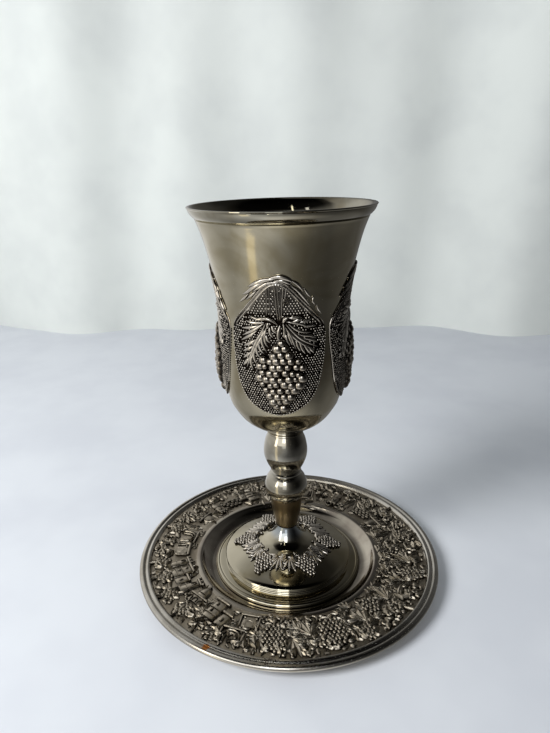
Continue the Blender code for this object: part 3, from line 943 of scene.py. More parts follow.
def stem_body():
    """Collar, upper knop, neck ring, lower knop and the plain sleeve down to the foot."""
    collar = [(0, STEM_TOP), (6.3, STEM_TOP), (6.6, 61), (6.7, 60.75), (6.5, 60.45),
              (6.2, 60.25), (6.3, 60.1), (6.75, 59.9), (6.9, 59.6), (6.75, 59.3), (6.45, 59.1),
              (6.5, 58.95)]
    upper_knop = smooth_line([(6.7, 58.7), (7.7, 56.3), (8.35, 52.6), (8.2, 49.6), (7.3, 46.8),
                              (6.1, 44.4), (5.5, 42.9)], 0.5)
    ring = [(5.75, 42.7), (6, 42.45), (6, 42.15), (5.7, 41.9), (5.75, 41.75)]
    lower_knop = smooth_line([(6.2, 41.5), (7.4, 39.9), (8.2, 37.4), (8.25, 35.2), (7.75, 33.4),
                              (6.7, 31.9), (5.9, 31.3)], 0.5)
    sleeve = [(5.8, 31.05), *smooth_line([(6, 30.9), (5.95, 27.8), (5.5, 24.4), (4.85, 21),
                                          (4.45, 18.7)], 0.6), (4.3, STEM_FOOT), (0, STEM_FOOT)]
    return lathe(np.concatenate([collar, upper_knop, ring, lower_knop, sleeve]), 128)


piece("stem_body", stem_body(), knop_plate, "stem", crease=35.0)


# ---------------------------------------------------------------- foot

def foot_body():
    """Trumpet and dome over a ribbed step and a flat flange, hollow underneath."""
    lip = [(25.15, 5.85), (25.25, 5.6), (25.1, 5.38)]
    ribs = [(radius, 5.2 - 0.74 * rib - drop) for rib in range(3) for radius, drop in (
        (24.62, 0), (24.86, 0.14), (24.98, 0.36), (24.88, 0.58), (24.62, 0.68))]
    flange = [(24.7, 2.98), (25.6, 2.93), (26.6, 2.86), (27.4, 2.8), (27.8, 2.74),
              (27.95, 2.62), (28.1, 2.68), (28.4, 2.7), (28.7, 2.62), (28.9, 2.5),
              (FLANGE_RADIUS - 0.1, 2.1), (FLANGE_RADIUS, 1.8), (FLANGE_RADIUS, FOOT_SEAT)]
    hollow = smooth_line([(20.2, 6.8), (15.6, 8.3), (10.6, 10), (6.4, 12.4), (3.4, 14.8),
                          (0, 15.4)], 1.5)
    return lathe(np.concatenate([[(0, FOOT_TOP), (4.1, FOOT_TOP)], dome_line, lip, ribs, flange,
                                 [(23.3, FOOT_SEAT), (23.3, 4.5)], hollow]), 224)


# Half width of a small bunch down its length, as a share of the way and mm
BUNCH_SHAPE = [(0, 1.6), (0.15, 2.7), (0.45, 2.9), (0.7, 2.2), (0.9, 1), (1, 0.5)]


def wreath_leaf(across, out, lean, size):
    """A vine leaf of the wreath: blades fanned out from its stalk, long and short by turns."""
    shapes = []
    for blade, heading in enumerate(range(-100, 101, 20)):
        direction = math.radians(heading + lean)
        length = size * (1.0 - 0.0048 * abs(heading) - 0.14 * (blade % 2))
        tip = (across + length * math.sin(direction), out + length * math.cos(direction))
        middle = (0.5 * (across + tip[0]) + 0.25 * math.cos(direction), 0.5 * (out + tip[1]) + 0.2)
        shapes.append(ridge([(across, out), middle, tip], 0.25 * size, 0.8, on_dome,
                            swell=lance_swell, spacing=0.5, across=7, base=0.2))
    return merged(shapes)


def wreath_unit():
    """A bunch with a leaf either side of it, and the stretch of vine that they hang from."""
    vine = [(-7.2, 11.4), (-4.8, 12.2), (-2.4, 11.5), (0.2, 12.3), (2.4, 11.6), (4.8, 12.2),
            (7.2, 11.4)]
    shapes = [ridge(vine, 0.8, 0.7, on_dome, spacing=0.5, across=5),
              wreath_leaf(-5.2, 12.3, -14.0, 7.2), wreath_leaf(5.2, 12.1, 10.0, 7.6)]
    for across, out, tip in ((-7.4, 12.2, 17.0), (7.3, 12.2, 15.6), (-2.6, 11.4, 10.2)):
        twig = [(across, out), (across + 0.4, 0.5 * (out + tip)), (across - 0.2, tip)]
        shapes.append(ridge(twig, 1.1, 0.8, on_dome, swell=lance_swell, spacing=0.5,
                            across=7, base=0.1))
    grapes = bunch_places((0.3, 13.2), (0.5, 21.0), BUNCH_SHAPE, 1.2, seed=11)
    shapes.append(balls(grapes, on_dome, 1.45, wreath_relief, proud=0.55, detail=2,
                        squash=1.0, spread=0.12, seed=4))
    return turned_round(merged(shapes), 180.0 / WREATH_REPEATS)


piece("foot_body", foot_body(), foot_plate, "foot", crease=35.0)
wreath = grown(ring_maker, wreath_unit(), {"Count": WREATH_REPEATS, "Finish": wreath_relief})
piece("foot_wreath", wreath, wreath_relief, "foot")


# ---------------------------------------------------------------- saucer

def saucer_body():
    """A flat-bottomed well, a wide band for the relief and a double-beaded border."""
    well = [(0, WELL_FLOOR), (12, WELL_FLOOR), (24, WELL_FLOOR),
            *smooth_line([(29.9, WELL_FLOOR), (31.8, 1.6), (33.4, 2.5), (34.5, 3.6), (35.1, 4.35),
                          (35.6, 4.62), (36.6, 4.62), (37.3, BAND_LEVEL)], 0.35)]
    band = [(radius, BAND_LEVEL) for radius in np.arange(38.0, 55.2, 0.8)]
    border = [(55.45, BAND_LEVEL), (55.7, 4.75), (56, 5.35), (56.35, 5.65), (56.8, 5.7),
              (57.25, 5.62), (57.5, 5.35), (57.75, 5.2), (58, 5.3), (58.3, 5.6), (58.8, 5.68),
              (59.3, 5.6), (59.7, 5.35), (59.95, 4.95), (60, 4.5), (59.9, 4.05), (59.6, 3.9)]
    underside = [(58.8, 3.85), (55.8, 3.4), (46, 3.4), (36.2, 3.3), (34.6, 1.9), (33, 0.7),
                 (31.2, 0.1), (30.4, TABLE), (20, TABLE), (0, TABLE)]

    def beaten(radius, height, angle):
        inside = np.minimum(radius - BAND_REACH[0], BAND_REACH[1] - radius)
        wave = (np.sin(7.0 * angle + 0.30 * radius) * np.sin(0.71 * radius + 2.0 * angle)
                + 0.6 * np.sin(17.0 * angle - 0.53 * radius))
        return np.where(height > 4.0, 0.13 * np.clip(inside / 1.2, 0.0, 1.0) * wave, 0.0)

    return lathe(np.concatenate([well, band, border, underside]), 480, beaten)


# Motifs of the band, each on its own flat ground, upright along Y and about 5 to 9 mm across.
# bars(), blob(), leaf() and cord_line() are their building stones.

def bars(*rows):
    """Straight pieces of masonry, (x, y, x, y, width, lift) each."""
    return [ridge([(a, b), (0.5 * (a + c), 0.5 * (b + d)), (c, d)], width, lift, on_flat,
                  flat_section, spacing=2.0, across=7) for a, b, c, d, width, lift in rows]


def blob(x, y, width, length, turn, lift):
    """A rounded stone or clump."""
    turn = math.radians(turn)
    reach_x, reach_y = 0.5 * length * math.cos(turn), 0.5 * length * math.sin(turn)
    return ridge([(x - reach_x, y - reach_y), (x, y), (x + reach_x, y + reach_y)], width, lift,
                 on_flat, swell=lance_swell, spacing=0.7, across=7)


def leaf(start, tip, width, lift, bow=0.0, spacing=0.6):
    """One pointed leaf with its vein."""
    middle = (0.5 * (start[0] + tip[0]) - bow * (tip[1] - start[1]),
              0.5 * (start[1] + tip[1]) + bow * (tip[0] - start[0]))
    return ridge([start, middle, tip], width, lift, on_flat, leaf_section, lance_swell,
                 spacing=spacing, across=7)


def cord_line(stations, width=0.55, lift=0.6):
    """A thin raised line: a stalk, a kerb or a window's frame."""
    return ridge(stations, width, lift, on_flat, spacing=0.7, across=5)


def cottage():
    return merged([
        *bars((0, -2.6, 0, 2, 6.2, 0.5), (-3.5, 2.3, 3.5, 2.3, 1.1, 1.05),
              (-2.9, -2.7, -2.9, 2, 0.6, 0.85), (2.9, -2.7, 2.9, 2, 0.6, 0.85)),
        cord_line([(-1.1, -2.6), (-1.1, -0.6), (0, 0.2), (1.1, -0.6), (1.1, -2.6)]),
        *bars(*((x - 0.35, 1.1, x + 0.35, 1.1, 0.8, 0.9) for x in (-1.8, 1.8)))])


def stepped_house():
    return merged([
        *bars((-1.4, -2.8, -1.4, 3.2, 4, 0.6), (2, -2.8, 2, 0.9, 3, 0.45),
              (-3.7, 3.4, 0.9, 3.4, 0.9, 1.1), (0.5, 1.2, 3.8, 1.2, 0.8, 0.95),
              (-3.3, 0.6, 0.5, 0.6, 0.45, 0.9), (-3.3, -1.2, 0.5, -1.2, 0.45, 0.9)),
        *bars(*((-2, y - 0.45, -2, y + 0.45, 0.7, 1) for y in (-0.3, 2))),
        *bars((2, -1.6, 2, -0.4, 0.8, 0.85))])


def tower():
    return merged([
        *bars((0, -3.6, 0, 3, 2.7, 0.75), (-1.8, 3.2, 1.8, 3.2, 0.8, 1.1),
              (-1.7, -1, 1.7, -1, 0.4, 0.95)),
        cord_line([(-0.5, 0.4), (-0.5, 1.6), (0, 2.1), (0.5, 1.6), (0.5, 0.4)], 0.35, 1.1),
        *bars(*((x, 3.4, x, 4.4, 0.8, 1.05) for x in (-1.4, 0, 1.4)))])


def domed_hall():
    return merged([
        *bars((0, -3, 0, -0.2, 7, 0.55), (-3.9, 0, 3.9, 0, 0.8, 0.95), (0, 0.3, 0, 1.6, 4.2, 0.75)),
        ridge([(0, 1.2), (0, 2.8), (0, 4.6)], 4.4, 1.1, on_flat, spacing=0.6, across=7,
              swell=lambda t: np.clip(1.0 - t ** 2, 0.0, 1.0) ** 0.5),
        *bars((0, 4.2, 0, 5.4, 0.5, 0.9)),
        *(cord_line([(x - 0.7, -2.9), (x - 0.7, -1.6), (x, -0.9), (x + 0.7, -1.6),
                     (x + 0.7, -2.9)], 0.4, 0.95) for x in (-2.3, 0, 2.3))])


def gateway():
    parts = []
    for radius, lift in ((2.9, 0.9), (1.9, 0.7)):
        arch = [(radius * math.cos(a), radius * math.sin(a)) for a in np.linspace(0.0, math.pi, 7)]
        parts.append(cord_line([(radius, -2.6), *arch, (-radius, -2.6)], 0.75, lift))
    return merged(parts + bars((-3.9, 3.7, 3.9, 3.7, 0.8, 1), (-3.7, -2.8, -3.7, 3.4, 0.7, 0.6),
                               (3.7, -2.8, 3.7, 3.4, 0.7, 0.6)))


def ashlar():
    """A stretch of wall in coursed blocks."""
    rows = []
    for course in range(4):
        for block in range(4):
            x, y = (block - 1.5) * 1.75 + 0.8 * (course % 2 - 0.5), (course - 1.5) * 1.05
            rows.append((x - 0.68, y, x + 0.68, y, 0.85, 0.6 + 0.12 * ((course + block) % 3)))
    return merged(bars(*rows))


def round_bush(seed, count=17, radius=2.9):
    """A bushy crown of small balls on a short trunk."""
    rng = np.random.default_rng(seed)
    turn = np.arange(count) * 2.39996
    out = radius * np.sqrt((np.arange(count) + 0.4) / count)
    places = np.stack([out * np.cos(turn), out * np.sin(turn) + 1.0], axis=1)
    places += rng.normal(0.0, 0.12, places.shape)
    crown = balls(places, on_flat, 1.5, satin_relief, detail=2, squash=0.9, proud=0.25,
                  spread=0.25, seed=seed)
    mound = blob(0, 1, 2.0 * radius, 2.3 * radius, 90, 0.5)
    return merged([crown, mound, cord_line([(0.2, -3.6), (-0.1, -1.8), (0, -0.6)], 0.9, 0.8)])


def cypress():
    return merged([leaf((0, -3.8), (0, 4.2), 2.4, 0.95),
                   *(leaf((0, rise), (side * 1.1, rise + 2.0), 0.9, 1.05, 0.12 * side)
                     for rise in (-2.4, -0.9, 0.6) for side in (-1, 1))])


def palm():
    parts = [cord_line([(0.4, -3.6), (0.1, -1.4), (0, 0.6)], 0.8, 0.75)]
    for heading in (10, 45, 78, 108, 140, 172, 205, -28):
        tip = (3.3 * math.cos(math.radians(heading)), 0.7 + 3.1 * math.sin(math.radians(heading)))
        parts.append(leaf((0, 0.7), tip, 1.05, 0.95, -0.18 if tip[0] > 0.0 else 0.18))
    return merged(parts)


def spray(headings, length, width, lift=0.95):
    """A fan of pointed leaves from one point."""
    return merged([leaf((0, -2.6), towards((0, -2.6), heading,
                                           length * (0.82 + 0.18 * ((place * 7) % 3) / 2.0)),
                        width, lift, 0.08 if heading < 90 else -0.08)
                   for place, heading in enumerate(headings)])


def vine_leaf():
    """A vine leaf as toothed lobes spreading from one point."""
    lobes = []
    for heading, length in ((-12, 3), (18, 4.2), (45, 5), (68, 5.6), (90, 6.2), (112, 5.6),
                            (135, 5), (162, 4.2), (192, 3)):
        tip, direction = towards((0, -2.2), heading, length), math.radians(heading)
        bow = 0.07 * length * (1.0 if math.cos(direction) > 0.0 else -1.0)
        middle = (0.5 * tip[0] + bow * math.sin(direction) * 0.6,
                  0.5 * (-2.2 + tip[1]) + abs(bow) * 0.9)
        share = min(1.0, 0.55 + 0.04 * length)
        lobes.append(ridge([(0, -2.2), middle, tip], 2.3 * share, 0.75 * share, on_flat,
                           leaf_section, lobe_swell, teeth=0.28))
    return merged(lobes)


def small_bunch(seed):
    places = bunch_places((0, 2.6), (0, -3.4), BUNCH_SHAPE, 1.2, seed=seed)
    fruit = balls(places, on_flat, 1.25, satin_relief, detail=2, proud=0.35, squash=0.95,
                  seed=seed)
    return merged([fruit, cord_line([(0, 2.4), (0.4, 3.6), (1.1, 4.4)], 0.6, 0.7),
                   blob(0, -0.2, 4.4, 6.6, 90, 0.45)])


def big_bunch(seed):
    """A long bunch as broad as the band, its drop-shaped grapes lying close."""
    places = bunch_places((0, 5), (0.4, -6.4), [(0, 1.6), (0.2, 3.9), (0.5, 4.3), (0.8, 3),
                                                (1, 0.6)], 1.5, seed=seed)
    fruit = balls(places, on_flat, 1.65, satin_relief, detail=2, proud=0.45, squash=1.0,
                  spread=0.14, seed=seed)
    leaves = [leaf((0, 5.2), (3.6 * side, 4.6 + rise), 1.7, 1.1, 0.1 * side)
              for side, rise in ((-1, 1.6), (1, 1.9), (-1.3, -0.6), (1.25, -0.4))]
    return merged([fruit, *leaves, cord_line([(0, 4.8), (0.3, 6.4), (1.1, 7.4)], 0.8, 0.9)])


def boulders(seed):
    rng = np.random.default_rng(seed)
    parts = []
    for stone in range(6):
        x, y = (stone % 3 - 1.0) * 1.9 + rng.normal(0.0, 0.3), (stone // 3 - 0.5) * 2.1
        parts.append(blob(x, y + rng.normal(0.0, 0.25), rng.uniform(1.3, 2.2),
                          rng.uniform(1.9, 3.2), rng.uniform(0.0, 180.0), rng.uniform(0.6, 1.1)))
    return merged(parts)


def wheat_ear():
    return merged([cord_line([(0.3, -4), (0.1, -1.5), (0, 2.6)], 0.5, 0.6),
                   *(leaf((0, rise), (side * 1.05, rise + 1.3), 0.8, 0.85)
                     for rise in np.arange(-0.8, 3.0, 0.85) for side in (-1, 1))])


def scroll():
    curl = [(2.4 * (1.0 - a / 8.0) * math.cos(a), 2.4 * (1.0 - a / 8.0) * math.sin(a))
            for a in np.linspace(0.0, 6.4, 14)]
    return merged([cord_line([(3.2, -3), (3, -1.4), *curl], 0.7, 0.75),
                   leaf((2.6, -1.2), (0.2, -3.4), 1.3, 0.85, 0.15)])


MOTIFS = {
    "ashlar": ashlar(), "big_bunch": big_bunch(12), "boulders": boulders(2),
    "bush": round_bush(3), "cottage": cottage(), "cypress": cypress(),
    "domed_hall": domed_hall(), "gateway": gateway(), "palm": palm(), "rubble": boulders(8),
    "scroll": scroll(), "shrub": round_bush(9, 11, 2.1), "small_bunch": small_bunch(6),
    "spray": spray((35, 58, 80, 102, 126, 150), 6.2, 1.9, 0.75),
    "stepped_house": stepped_house(), "tower": tower(), "tuft": spray((60, 95, 128), 4.4, 1.3),
    "vine_leaf": vine_leaf(), "wheat_ear": wheat_ear()}

# The town round the band: (motif, degrees round from -Y, radius, size, turn in degrees)
TOWN = [
    ("big_bunch", -1, 46.8, 1, 6), ("vine_leaf", -8.5, 50.5, 1.25, 150),
    ("spray", 8.5, 50, 1.3, -150), ("gateway", -18, 50.8, 1.15, 4),
    ("cottage", -13.5, 41.6, 1.15, 6), ("stepped_house", -29.5, 43.6, 1.5, -4),
    ("palm", -33, 52.2, 1.1, 10), ("boulders", -24.5, 52.6, 1, 20), ("bush", -43.5, 51.5, 1.15, 0),
    ("domed_hall", -45, 42.6, 1.2, 8), ("tower", -54.5, 43, 1.25, -4), ("bush", -55, 51.8, 1.1, 0),
    ("stepped_house", -64.5, 43.8, 1.3, 6), ("bush", -66.5, 51.6, 1.2, 0),
    ("tower", -74, 44, 1.2, 12), ("shrub", -76.5, 52, 1.35, 0), ("boulders", -85, 51.8, 1.25, 40),
    ("cottage", -85, 43.2, 1.15, 0), ("scroll", -93.5, 51, 1.25, 10),
    ("gateway", -96.5, 43.6, 1.1, 0), ("bush", -102.5, 51.6, 1.05, 0),
    ("cypress", -106, 44.4, 1.15, 8), ("rubble", -112, 51.5, 1.25, 0),
    ("domed_hall", -117, 43.4, 1.1, 0), ("palm", -123, 50.6, 1.1, 0),
    ("tower", -128.5, 43.6, 1.1, 0), ("scroll", -134, 51, 1.15, 0),
    ("ashlar", -138.5, 42.6, 1.25, 0), ("wheat_ear", -144, 50.6, 1.1, 20),
    ("stepped_house", -150, 43.8, 1.2, 0), ("bush", -156, 51.6, 1.05, 0),
    ("cypress", -162, 45, 1.1, 0), ("rubble", -167, 51.8, 1.1, 0), ("cottage", -172, 43.4, 1.2, 0),
    ("wheat_ear", -179, 50, 1.1, 0), ("gateway", 174, 43.4, 1.1, 0), ("bush", 170, 51.6, 1.05, 0),
    ("palm", 163, 45.6, 1.1, 0), ("scroll", 159, 51.4, 1.1, 0), ("tower", 153, 43.8, 1.15, 0),
    ("rubble", 149, 51.6, 1.2, 0), ("vine_leaf", 142.5, 46, 1.3, 0), ("bush", 137, 51.6, 1.05, 0),
    ("ashlar", 132, 42.6, 1.2, 0), ("shrub", 127, 51.2, 1.35, 0), ("domed_hall", 121, 43.6, 1.1, 0),
    ("boulders", 117, 51.8, 1.3, 0), ("vine_leaf", 109, 44, 1.35, 20), ("bush", 106, 51.6, 1.15, 0),
    ("scroll", 97, 51.2, 1.3, 0), ("boulders", 98.5, 43.6, 1.3, 0),
    ("vine_leaf", 87.5, 46.6, 1.45, -30), ("rubble", 80, 41.8, 1.1, 60), ("bush", 78, 51.4, 1.2, 0),
    ("spray", 70, 45.4, 1.4, 25), ("boulders", 67.5, 51.9, 1.4, 30),
    ("vine_leaf", 58, 43.8, 1.35, -15), ("shrub", 57, 51.2, 1.45, 10),
    ("small_bunch", 48.5, 43.4, 1.3, -20), ("boulders", 47, 51.6, 1.35, 70),
    ("spray", 38.5, 44.6, 1.35, 20), ("bush", 37, 51.8, 1.1, 0), ("big_bunch", 24.5, 46.4, 1, -12),
    ("rubble", 15, 52.2, 1.2, 50), ("vine_leaf", 13, 43.4, 1.35, 25),
    ("tuft", 31.5, 51.8, 1.2, 160)]
FILLERS = ("boulders", "spray", "tuft", "scroll", "vine_leaf", "tuft", "spray")
FILLER_COUNT, FILLER_TRIES = 190, 6000
FILLER_REACH = (38.6, 48.5)      # mm from the axis
CROWDED = (-0.25, 2.1)           # radians round from -Y, where the forms lie closest


def town_places():
    """The listed motifs, then small ones wherever a gap is left between them."""
    places = [(name, math.radians(angle), radius, size, math.radians(turn))
              for name, angle, radius, size, turn in TOWN]
    rng = np.random.default_rng(21)
    for _ in range(FILLER_TRIES):
        angle, radius = rng.uniform(-math.pi, math.pi), rng.uniform(*FILLER_REACH)
        name = FILLERS[rng.integers(len(FILLERS))]
        size, turn = rng.uniform(0.55, 0.95), rng.uniform(-math.pi, math.pi)
        busy = CROWDED[0] < angle < CROWDED[1]
        if not busy and rng.random() > 0.1:
            continue
        gaps = [math.hypot(radius * math.cos(angle) - r * math.cos(a),
                           radius * math.sin(angle) - r * math.sin(a)) / s
                for _, a, r, s, _ in places]
        if min(gaps) > (2.7 if busy else 3.6) and len(places) < len(TOWN) + FILLER_COUNT:
            places.append((name, angle, radius, size, turn))
    return places


# Small leaves and buds of the band's outer edge, each about 3 mm across
SPRIGS = {
    "broad_leaf": leaf((-1.9, 0), (2.1, 0.3), 2.4, 1.1, 0.12, 1.0),
    "bud": merged([blob(-0.6, 0, 1.5, 2.2, 20, 1.1), blob(0.9, 0.3, 1.1, 1.7, 70, 0.8)]),
    "curled_leaf": merged([leaf((-1.6, -0.3), (1.7, 0.5), 1.7, 1.1, 0.2, 1.0),
                           leaf((-0.8, 0.2), (0.5, 2), 1.1, 0.9, -0.15, 1.0)]),
    "leaf_pair": merged([leaf((-1.2, 0), (1.5, 1.5), 1.2, 1.0, -0.12, 1.0),
                         leaf((-1.2, 0), (1.5, -1.5), 1.2, 0.9, 0.12, 1.0)])}
SPRIG_ROWS = (49.2, 51.6, 53.7)
SPRIG_PITCH = 3.3


def sprig_places():
    """Rows of sprigs that jostle each other all the way round, none quite in line."""
    rng = np.random.default_rng(33)
    names = sorted(SPRIGS)
    places = []
    for radius in SPRIG_ROWS:
        count = int(2.0 * math.pi * radius / SPRIG_PITCH)
        for step in range(count):
            angle = 2.0 * math.pi * (step + rng.uniform(-0.3, 0.3)) / count
            size = rng.uniform(0.6, 0.9) if radius == SPRIG_ROWS[-1] else rng.uniform(0.85, 1.35)
            places.append((names[rng.integers(len(names))], angle,
                           radius + rng.uniform(-0.5, 0.4), size,
                           rng.uniform(-math.pi, math.pi)))
    return places


def band_relief(motifs, places):
    """Motifs set round the band by the motif tree: (name, angle, radius, size, turn) each."""
    library = bpy.data.collections.new("band_motifs")
    names = sorted(motifs)
    for name in names:
        library.objects.link(bpy.data.objects.new(name, mesh_of(name, motifs[name])))
    chosen, *measures = zip(*places)
    angle, radius, size, turn = np.array(measures)
    heading = np.stack([np.cos(angle + turn), np.sin(angle + turn), 0.0 * angle], axis=1)
    shape = grown(motif_maker, (polar(radius, angle, BAND_LEVEL), NO_FACES),
                  {"Motifs": library, "Size Spread": 0.06, "Seed": 2, "Finish": satin_relief},
                  {"outward": [(0, 0, 1)] * len(places), "heading": heading, "grow": size,
                   "motif": [names.index(name) for name in chosen]})
    for made in list(library.objects):
        mesh = made.data
        bpy.data.objects.remove(made)
        bpy.data.meshes.remove(mesh)
    bpy.data.collections.remove(library)
    return shape


piece("saucer_body", saucer_body(), saucer_plate, "saucer", crease=40.0)
town = town_places()
for name, motifs, places in (("saucer_foliage", SPRIGS, sprig_places()),
                             ("saucer_town", MOTIFS, town[:len(TOWN)]),
                             ("saucer_vines", MOTIFS, town[len(TOWN):])):
    piece(name, band_relief(motifs, places), satin_relief, "saucer")


# ---------------------------------------------------------------- studio

BACKDROP_DISTANCE = 340.0        # mm behind the cup
TABLE_REACH = 1500.0             # mm
TABLE_LEVEL = -0.02              # mm, a hair under the saucer
TENT_RADIUS = 0.75               # m
WINDOW_DISTANCE = 700.0          # mm
KEY_AIM = Vector((0.0, 0.0, 0.05))
KEY_TURN, KEY_RISE, KEY_DISTANCE = math.radians(-50.0), math.radians(38.0), 0.8
EYE_DISTANCE = 198.78 * MM       # the camera's distance from the cup's axis
EYE_HEIGHT = 157.02 * MM
EYE_TURN = 5.2                   # degrees round from -Y
EYE_HEADING, EYE_FALL, EYE_ROLL = 7.54, 19.77, -1.74

# The room seen in the metal: rise (as a share), then (degrees round from the camera's side, tone)
ROOM = [
    (-0.85, (-178, 0.2), (-120, 0.28), (-60, 0.5), (-20, 0.95), (8, 0.8), (35, 0.56), (60, 0.32),
     (90, 0.18), (140, 0.16)),
    (-0.5, (-178, 0.24), (-150, 0.55), (-110, 0.42), (-85, 0.46), (-60, 0.72), (-35, 0.6),
     (-10, 0.36), (15, 0.21), (45, 0.11), (75, 0.08), (105, 0.15), (150, 0.2)),
    (-0.25, (-178, 0.13), (-160, 0.9), (-130, 0.65), (-90, 0.42), (-60, 0.48), (-35, 0.42),
     (-10, 0.22), (10, 0.1), (40, 0.05), (80, 0.055), (120, 0.1), (160, 0.13)),
    (0.05, (-178, 0.14), (-150, 0.85), (-110, 0.75), (-75, 0.6), (-55, 0.65), (-30, 0.5),
     (0, 0.32), (15, 0.12), (30, 0.04), (55, 0.01), (72, 0.01), (100, 0.05), (140, 0.14)),
    (0.35, (-178, 0.18), (-166, 0.5), (-150, 0.85), (-100, 0.7), (-60, 0.75), (-15, 0.66),
     (2, 0.3), (18, 0.1), (40, 0.02), (65, 0.008), (85, 0.02), (110, 0.06), (145, 0.13)),
    (0.6, (-178, 0.16), (-166, 0.5), (-145, 0.75), (-110, 0.68), (-85, 0.48), (-60, 0.5),
     (-12, 0.5), (4, 0.32), (20, 0.11), (35, 0.03), (60, 0.012), (85, 0.025), (110, 0.06),
     (150, 0.08)),
    (0.8, (-178, 0.1), (-165, 0.3), (-150, 0.42), (-120, 0.46), (-98, 0.42), (-88, 0.06),
     (-75, 0.008), (0, 0.003), (75, 0.003), (100, 0.02), (150, 0.025)),
    (0.93, (-178, 0.05), (-130, 0.24), (-105, 0.16), (-92, 0.02), (-75, 0.001), (75, 0.001),
     (105, 0.012), (160, 0.02))]
# Lights of the room: name, degrees round, half width, lowest, highest (degrees), strength, colour
LIGHTS = [
    ("window_pane", -25, 27, 12, 43, 1.6, "#ffffff"),
    ("window_left", -54, 6.5, 4, 40, 4, "#fffaf0"),
    ("window_sill", -49, 6.5, -34, 4, 1.15, "#fff6e0"),
    ("window_front", -8.5, 9.5, 15, 48, 4.4, "#f4f8ff"),
    ("window_foot", -8.5, 9.5, 3, 15, 1.15, "#f4f8ff"),
    ("lamp_high", -19, 1.3, 49, 58, 3, "#fffbe8"), ("lamp_low", -45, 3, 49, 53, 1.3, "#ffffff")]


def stage_piece(name, shape, material, in_view=True):
    """Something of the studio, either in view or only in the cup's reflections."""
    made = shown(name, mesh_of(name, shape))
    made.data.materials.append(material)
    made.visible_glossy = not in_view
    made.visible_camera = made.visible_diffuse = made.visible_shadow = in_view
    made.visible_transmission = made.visible_volume_scatter = in_view


def table_top():
    """A flat table under the saucer."""
    corners = TABLE_REACH * np.array([(-1, -1), (1, -1), (1, 1), (-1, 1)])
    return on_flat(*corners.T, TABLE_LEVEL), np.array([[0, 1, 2, 3]])


def hung_cloth():
    """A pale cloth behind, in soft upright folds."""
    across, up = np.linspace(-1400.0, 1400.0, 420), np.linspace(-0.02, 1200.0, 60)
    x, z = np.meshgrid(across, up)
    drift = 0.035 * z
    depth = (16.0 * np.sin((x + drift) / 47.0) * np.sin((x - 0.4 * drift) / 131.0 + 0.6)
             + 7.0 * np.sin((x - 2.0 * drift) / 19.0 + 2.0) * np.sin(x / 83.0)
             + 3.0 * np.sin(z / 60.0 + x / 31.0))
    points = np.stack([x, BACKDROP_DISTANCE + depth, z], axis=2).reshape(-1, 3)
    return points, grid_faces(len(up), len(across), False)


def tent():
    """A round room about the cup, seen only in its reflections."""
    profile = [(TENT_RADIUS / MM * math.cos(a), TENT_RADIUS / MM * math.sin(a))
               for a in np.linspace(-0.5 * math.pi, 0.5 * math.pi, 25)]
    points, faces = lathe(profile, 72)
    return points, faces[:, ::-1]


def window_strip(azimuth, half_width, low, high):
    """A patch of light, degrees round from the camera's side, between two heights."""
    columns = np.linspace(-1.0, 1.0, 2 + int(half_width / 5.0))
    turn, lift = np.radians(EYE_TURN + azimuth + columns * half_width), np.radians([[low], [high]])
    points = polar(WINDOW_DISTANCE * np.cos(lift), turn, WINDOW_DISTANCE * np.sin(lift))
    return points.reshape(-1, 3), grid_faces(2, len(columns), False)[:, ::-1]


def room_tones(add, place):
    """The room's colour, from dark beams and pale walls blended by height."""
    parts = add("ShaderNodeSeparateXYZ", [place]).outputs
    behind = add("ShaderNodeMath", [parts["Y"], -1.0], operation="MULTIPLY")
    turn = add("ShaderNodeMath", [parts["X"], behind], operation="ARCTAN2")
    share = add("ShaderNodeMath", [turn, 1.0 / (2.0 * math.pi), 0.5 - EYE_TURN / 360.0],
                operation="MULTIPLY_ADD")
    rise = add("ShaderNodeMath", [parts["Z"], TENT_RADIUS], operation="DIVIDE")
    colour, below = None, 0.0
    for level, *stops in ROOM:
        ramp = add("ShaderNodeValToRGB", [share])
        elements = ramp.color_ramp.elements
        for stop, (azimuth, tone) in enumerate(stops):
            where = (azimuth + 180.0) / 360.0
            element = elements[stop] if stop < 2 else elements.new(where)
            element.position = where
            element.color = (tone, tone, tone, 1.0)
        if colour:
            above = add("ShaderNodeMapRange", [rise, below, level], **SMOOTH)
            colour = coated(add, colour, (above, ramp))
        colour, below = colour or ramp, level
    return colour


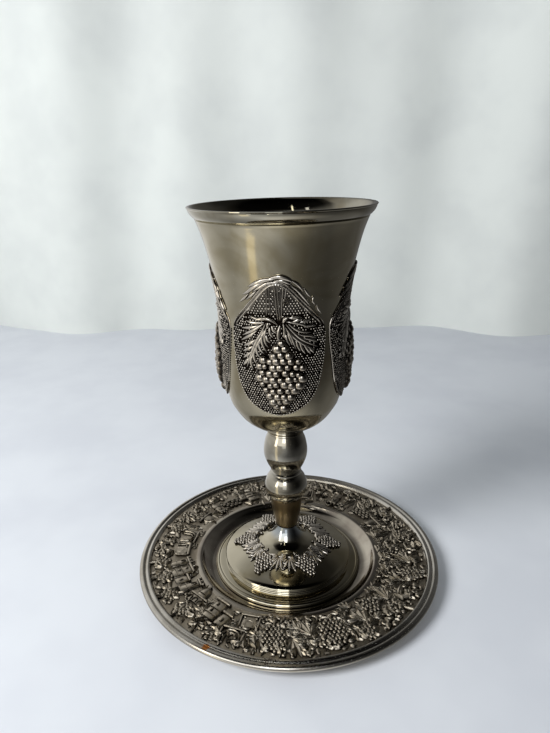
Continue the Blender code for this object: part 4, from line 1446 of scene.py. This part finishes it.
def glow(name, strength, colour):
    """A surface that only gives light; its colour is hex, or made by colour(add, place)."""
    material, add, place = new_material(name)
    colour = colour(add, place) if callable(colour) else colour
    light = add("ShaderNodeEmission", {"Strength": strength, "Color": colour})
    add("Material Output", {"Surface": light})
    material.cycles.emission_sampling = "NONE"
    return material


stage_piece("table", table_top(),
            matt_surface("pale table paint", "#d4d8de", "#ccd0d7", 0.6, 0.9, 0.05))
stage_piece("backdrop", hung_cloth(),
            matt_surface("pale cotton backdrop", "#d8dcd8", "#cfd3d0", 0.9, 1.2, 0.1))
stage_piece("room", tent(), glow("room_glow", 1.0, room_tones), in_view=False)
for name, azimuth, half_width, low, high, strength, colour in LIGHTS:
    stage_piece(name, window_strip(azimuth, half_width, low, high),
                glow(name, strength, colour), in_view=False)

world = bpy.data.worlds.new("studio")
world.use_nodes = True
add_node(world.node_tree, "Background", {"Color": "#e6e9ee", "Strength": 0.36})
bpy.context.scene.world = world
world.cycles_visibility.glossy = False

key_light = bpy.data.lights.new("key", "AREA")
key_light.shape = "DISK"
key_light.size = 0.35
key_light.energy = 7.5
key = shown("key", key_light)
key.location = polar(KEY_DISTANCE * math.cos(KEY_RISE), KEY_TURN,
                     KEY_DISTANCE * math.sin(KEY_RISE))
key.rotation_euler = (KEY_AIM - key.location).to_track_quat("-Z", "Y").to_euler()
key.visible_glossy = False


# ---------------------------------------------------------------- camera

eye = bpy.data.cameras.new("camera")
eye.lens = 28.307
eye.sensor_width = 36.0
eye.shift_x = 0.01774
eye.clip_start = 0.01
camera = shown("camera", eye)
turned = (Matrix.Rotation(math.radians(EYE_HEADING), 4, "Z")
          @ Matrix.Rotation(math.radians(90.0 - EYE_FALL), 4, "X")
          @ Matrix.Rotation(math.radians(EYE_ROLL), 4, "Z"))
camera.matrix_world = Matrix.Translation(
    polar(EYE_DISTANCE, math.radians(EYE_TURN), EYE_HEIGHT)) @ turned
bpy.context.scene.camera = camera
bpy.context.scene.view_settings.view_transform = "Standard"
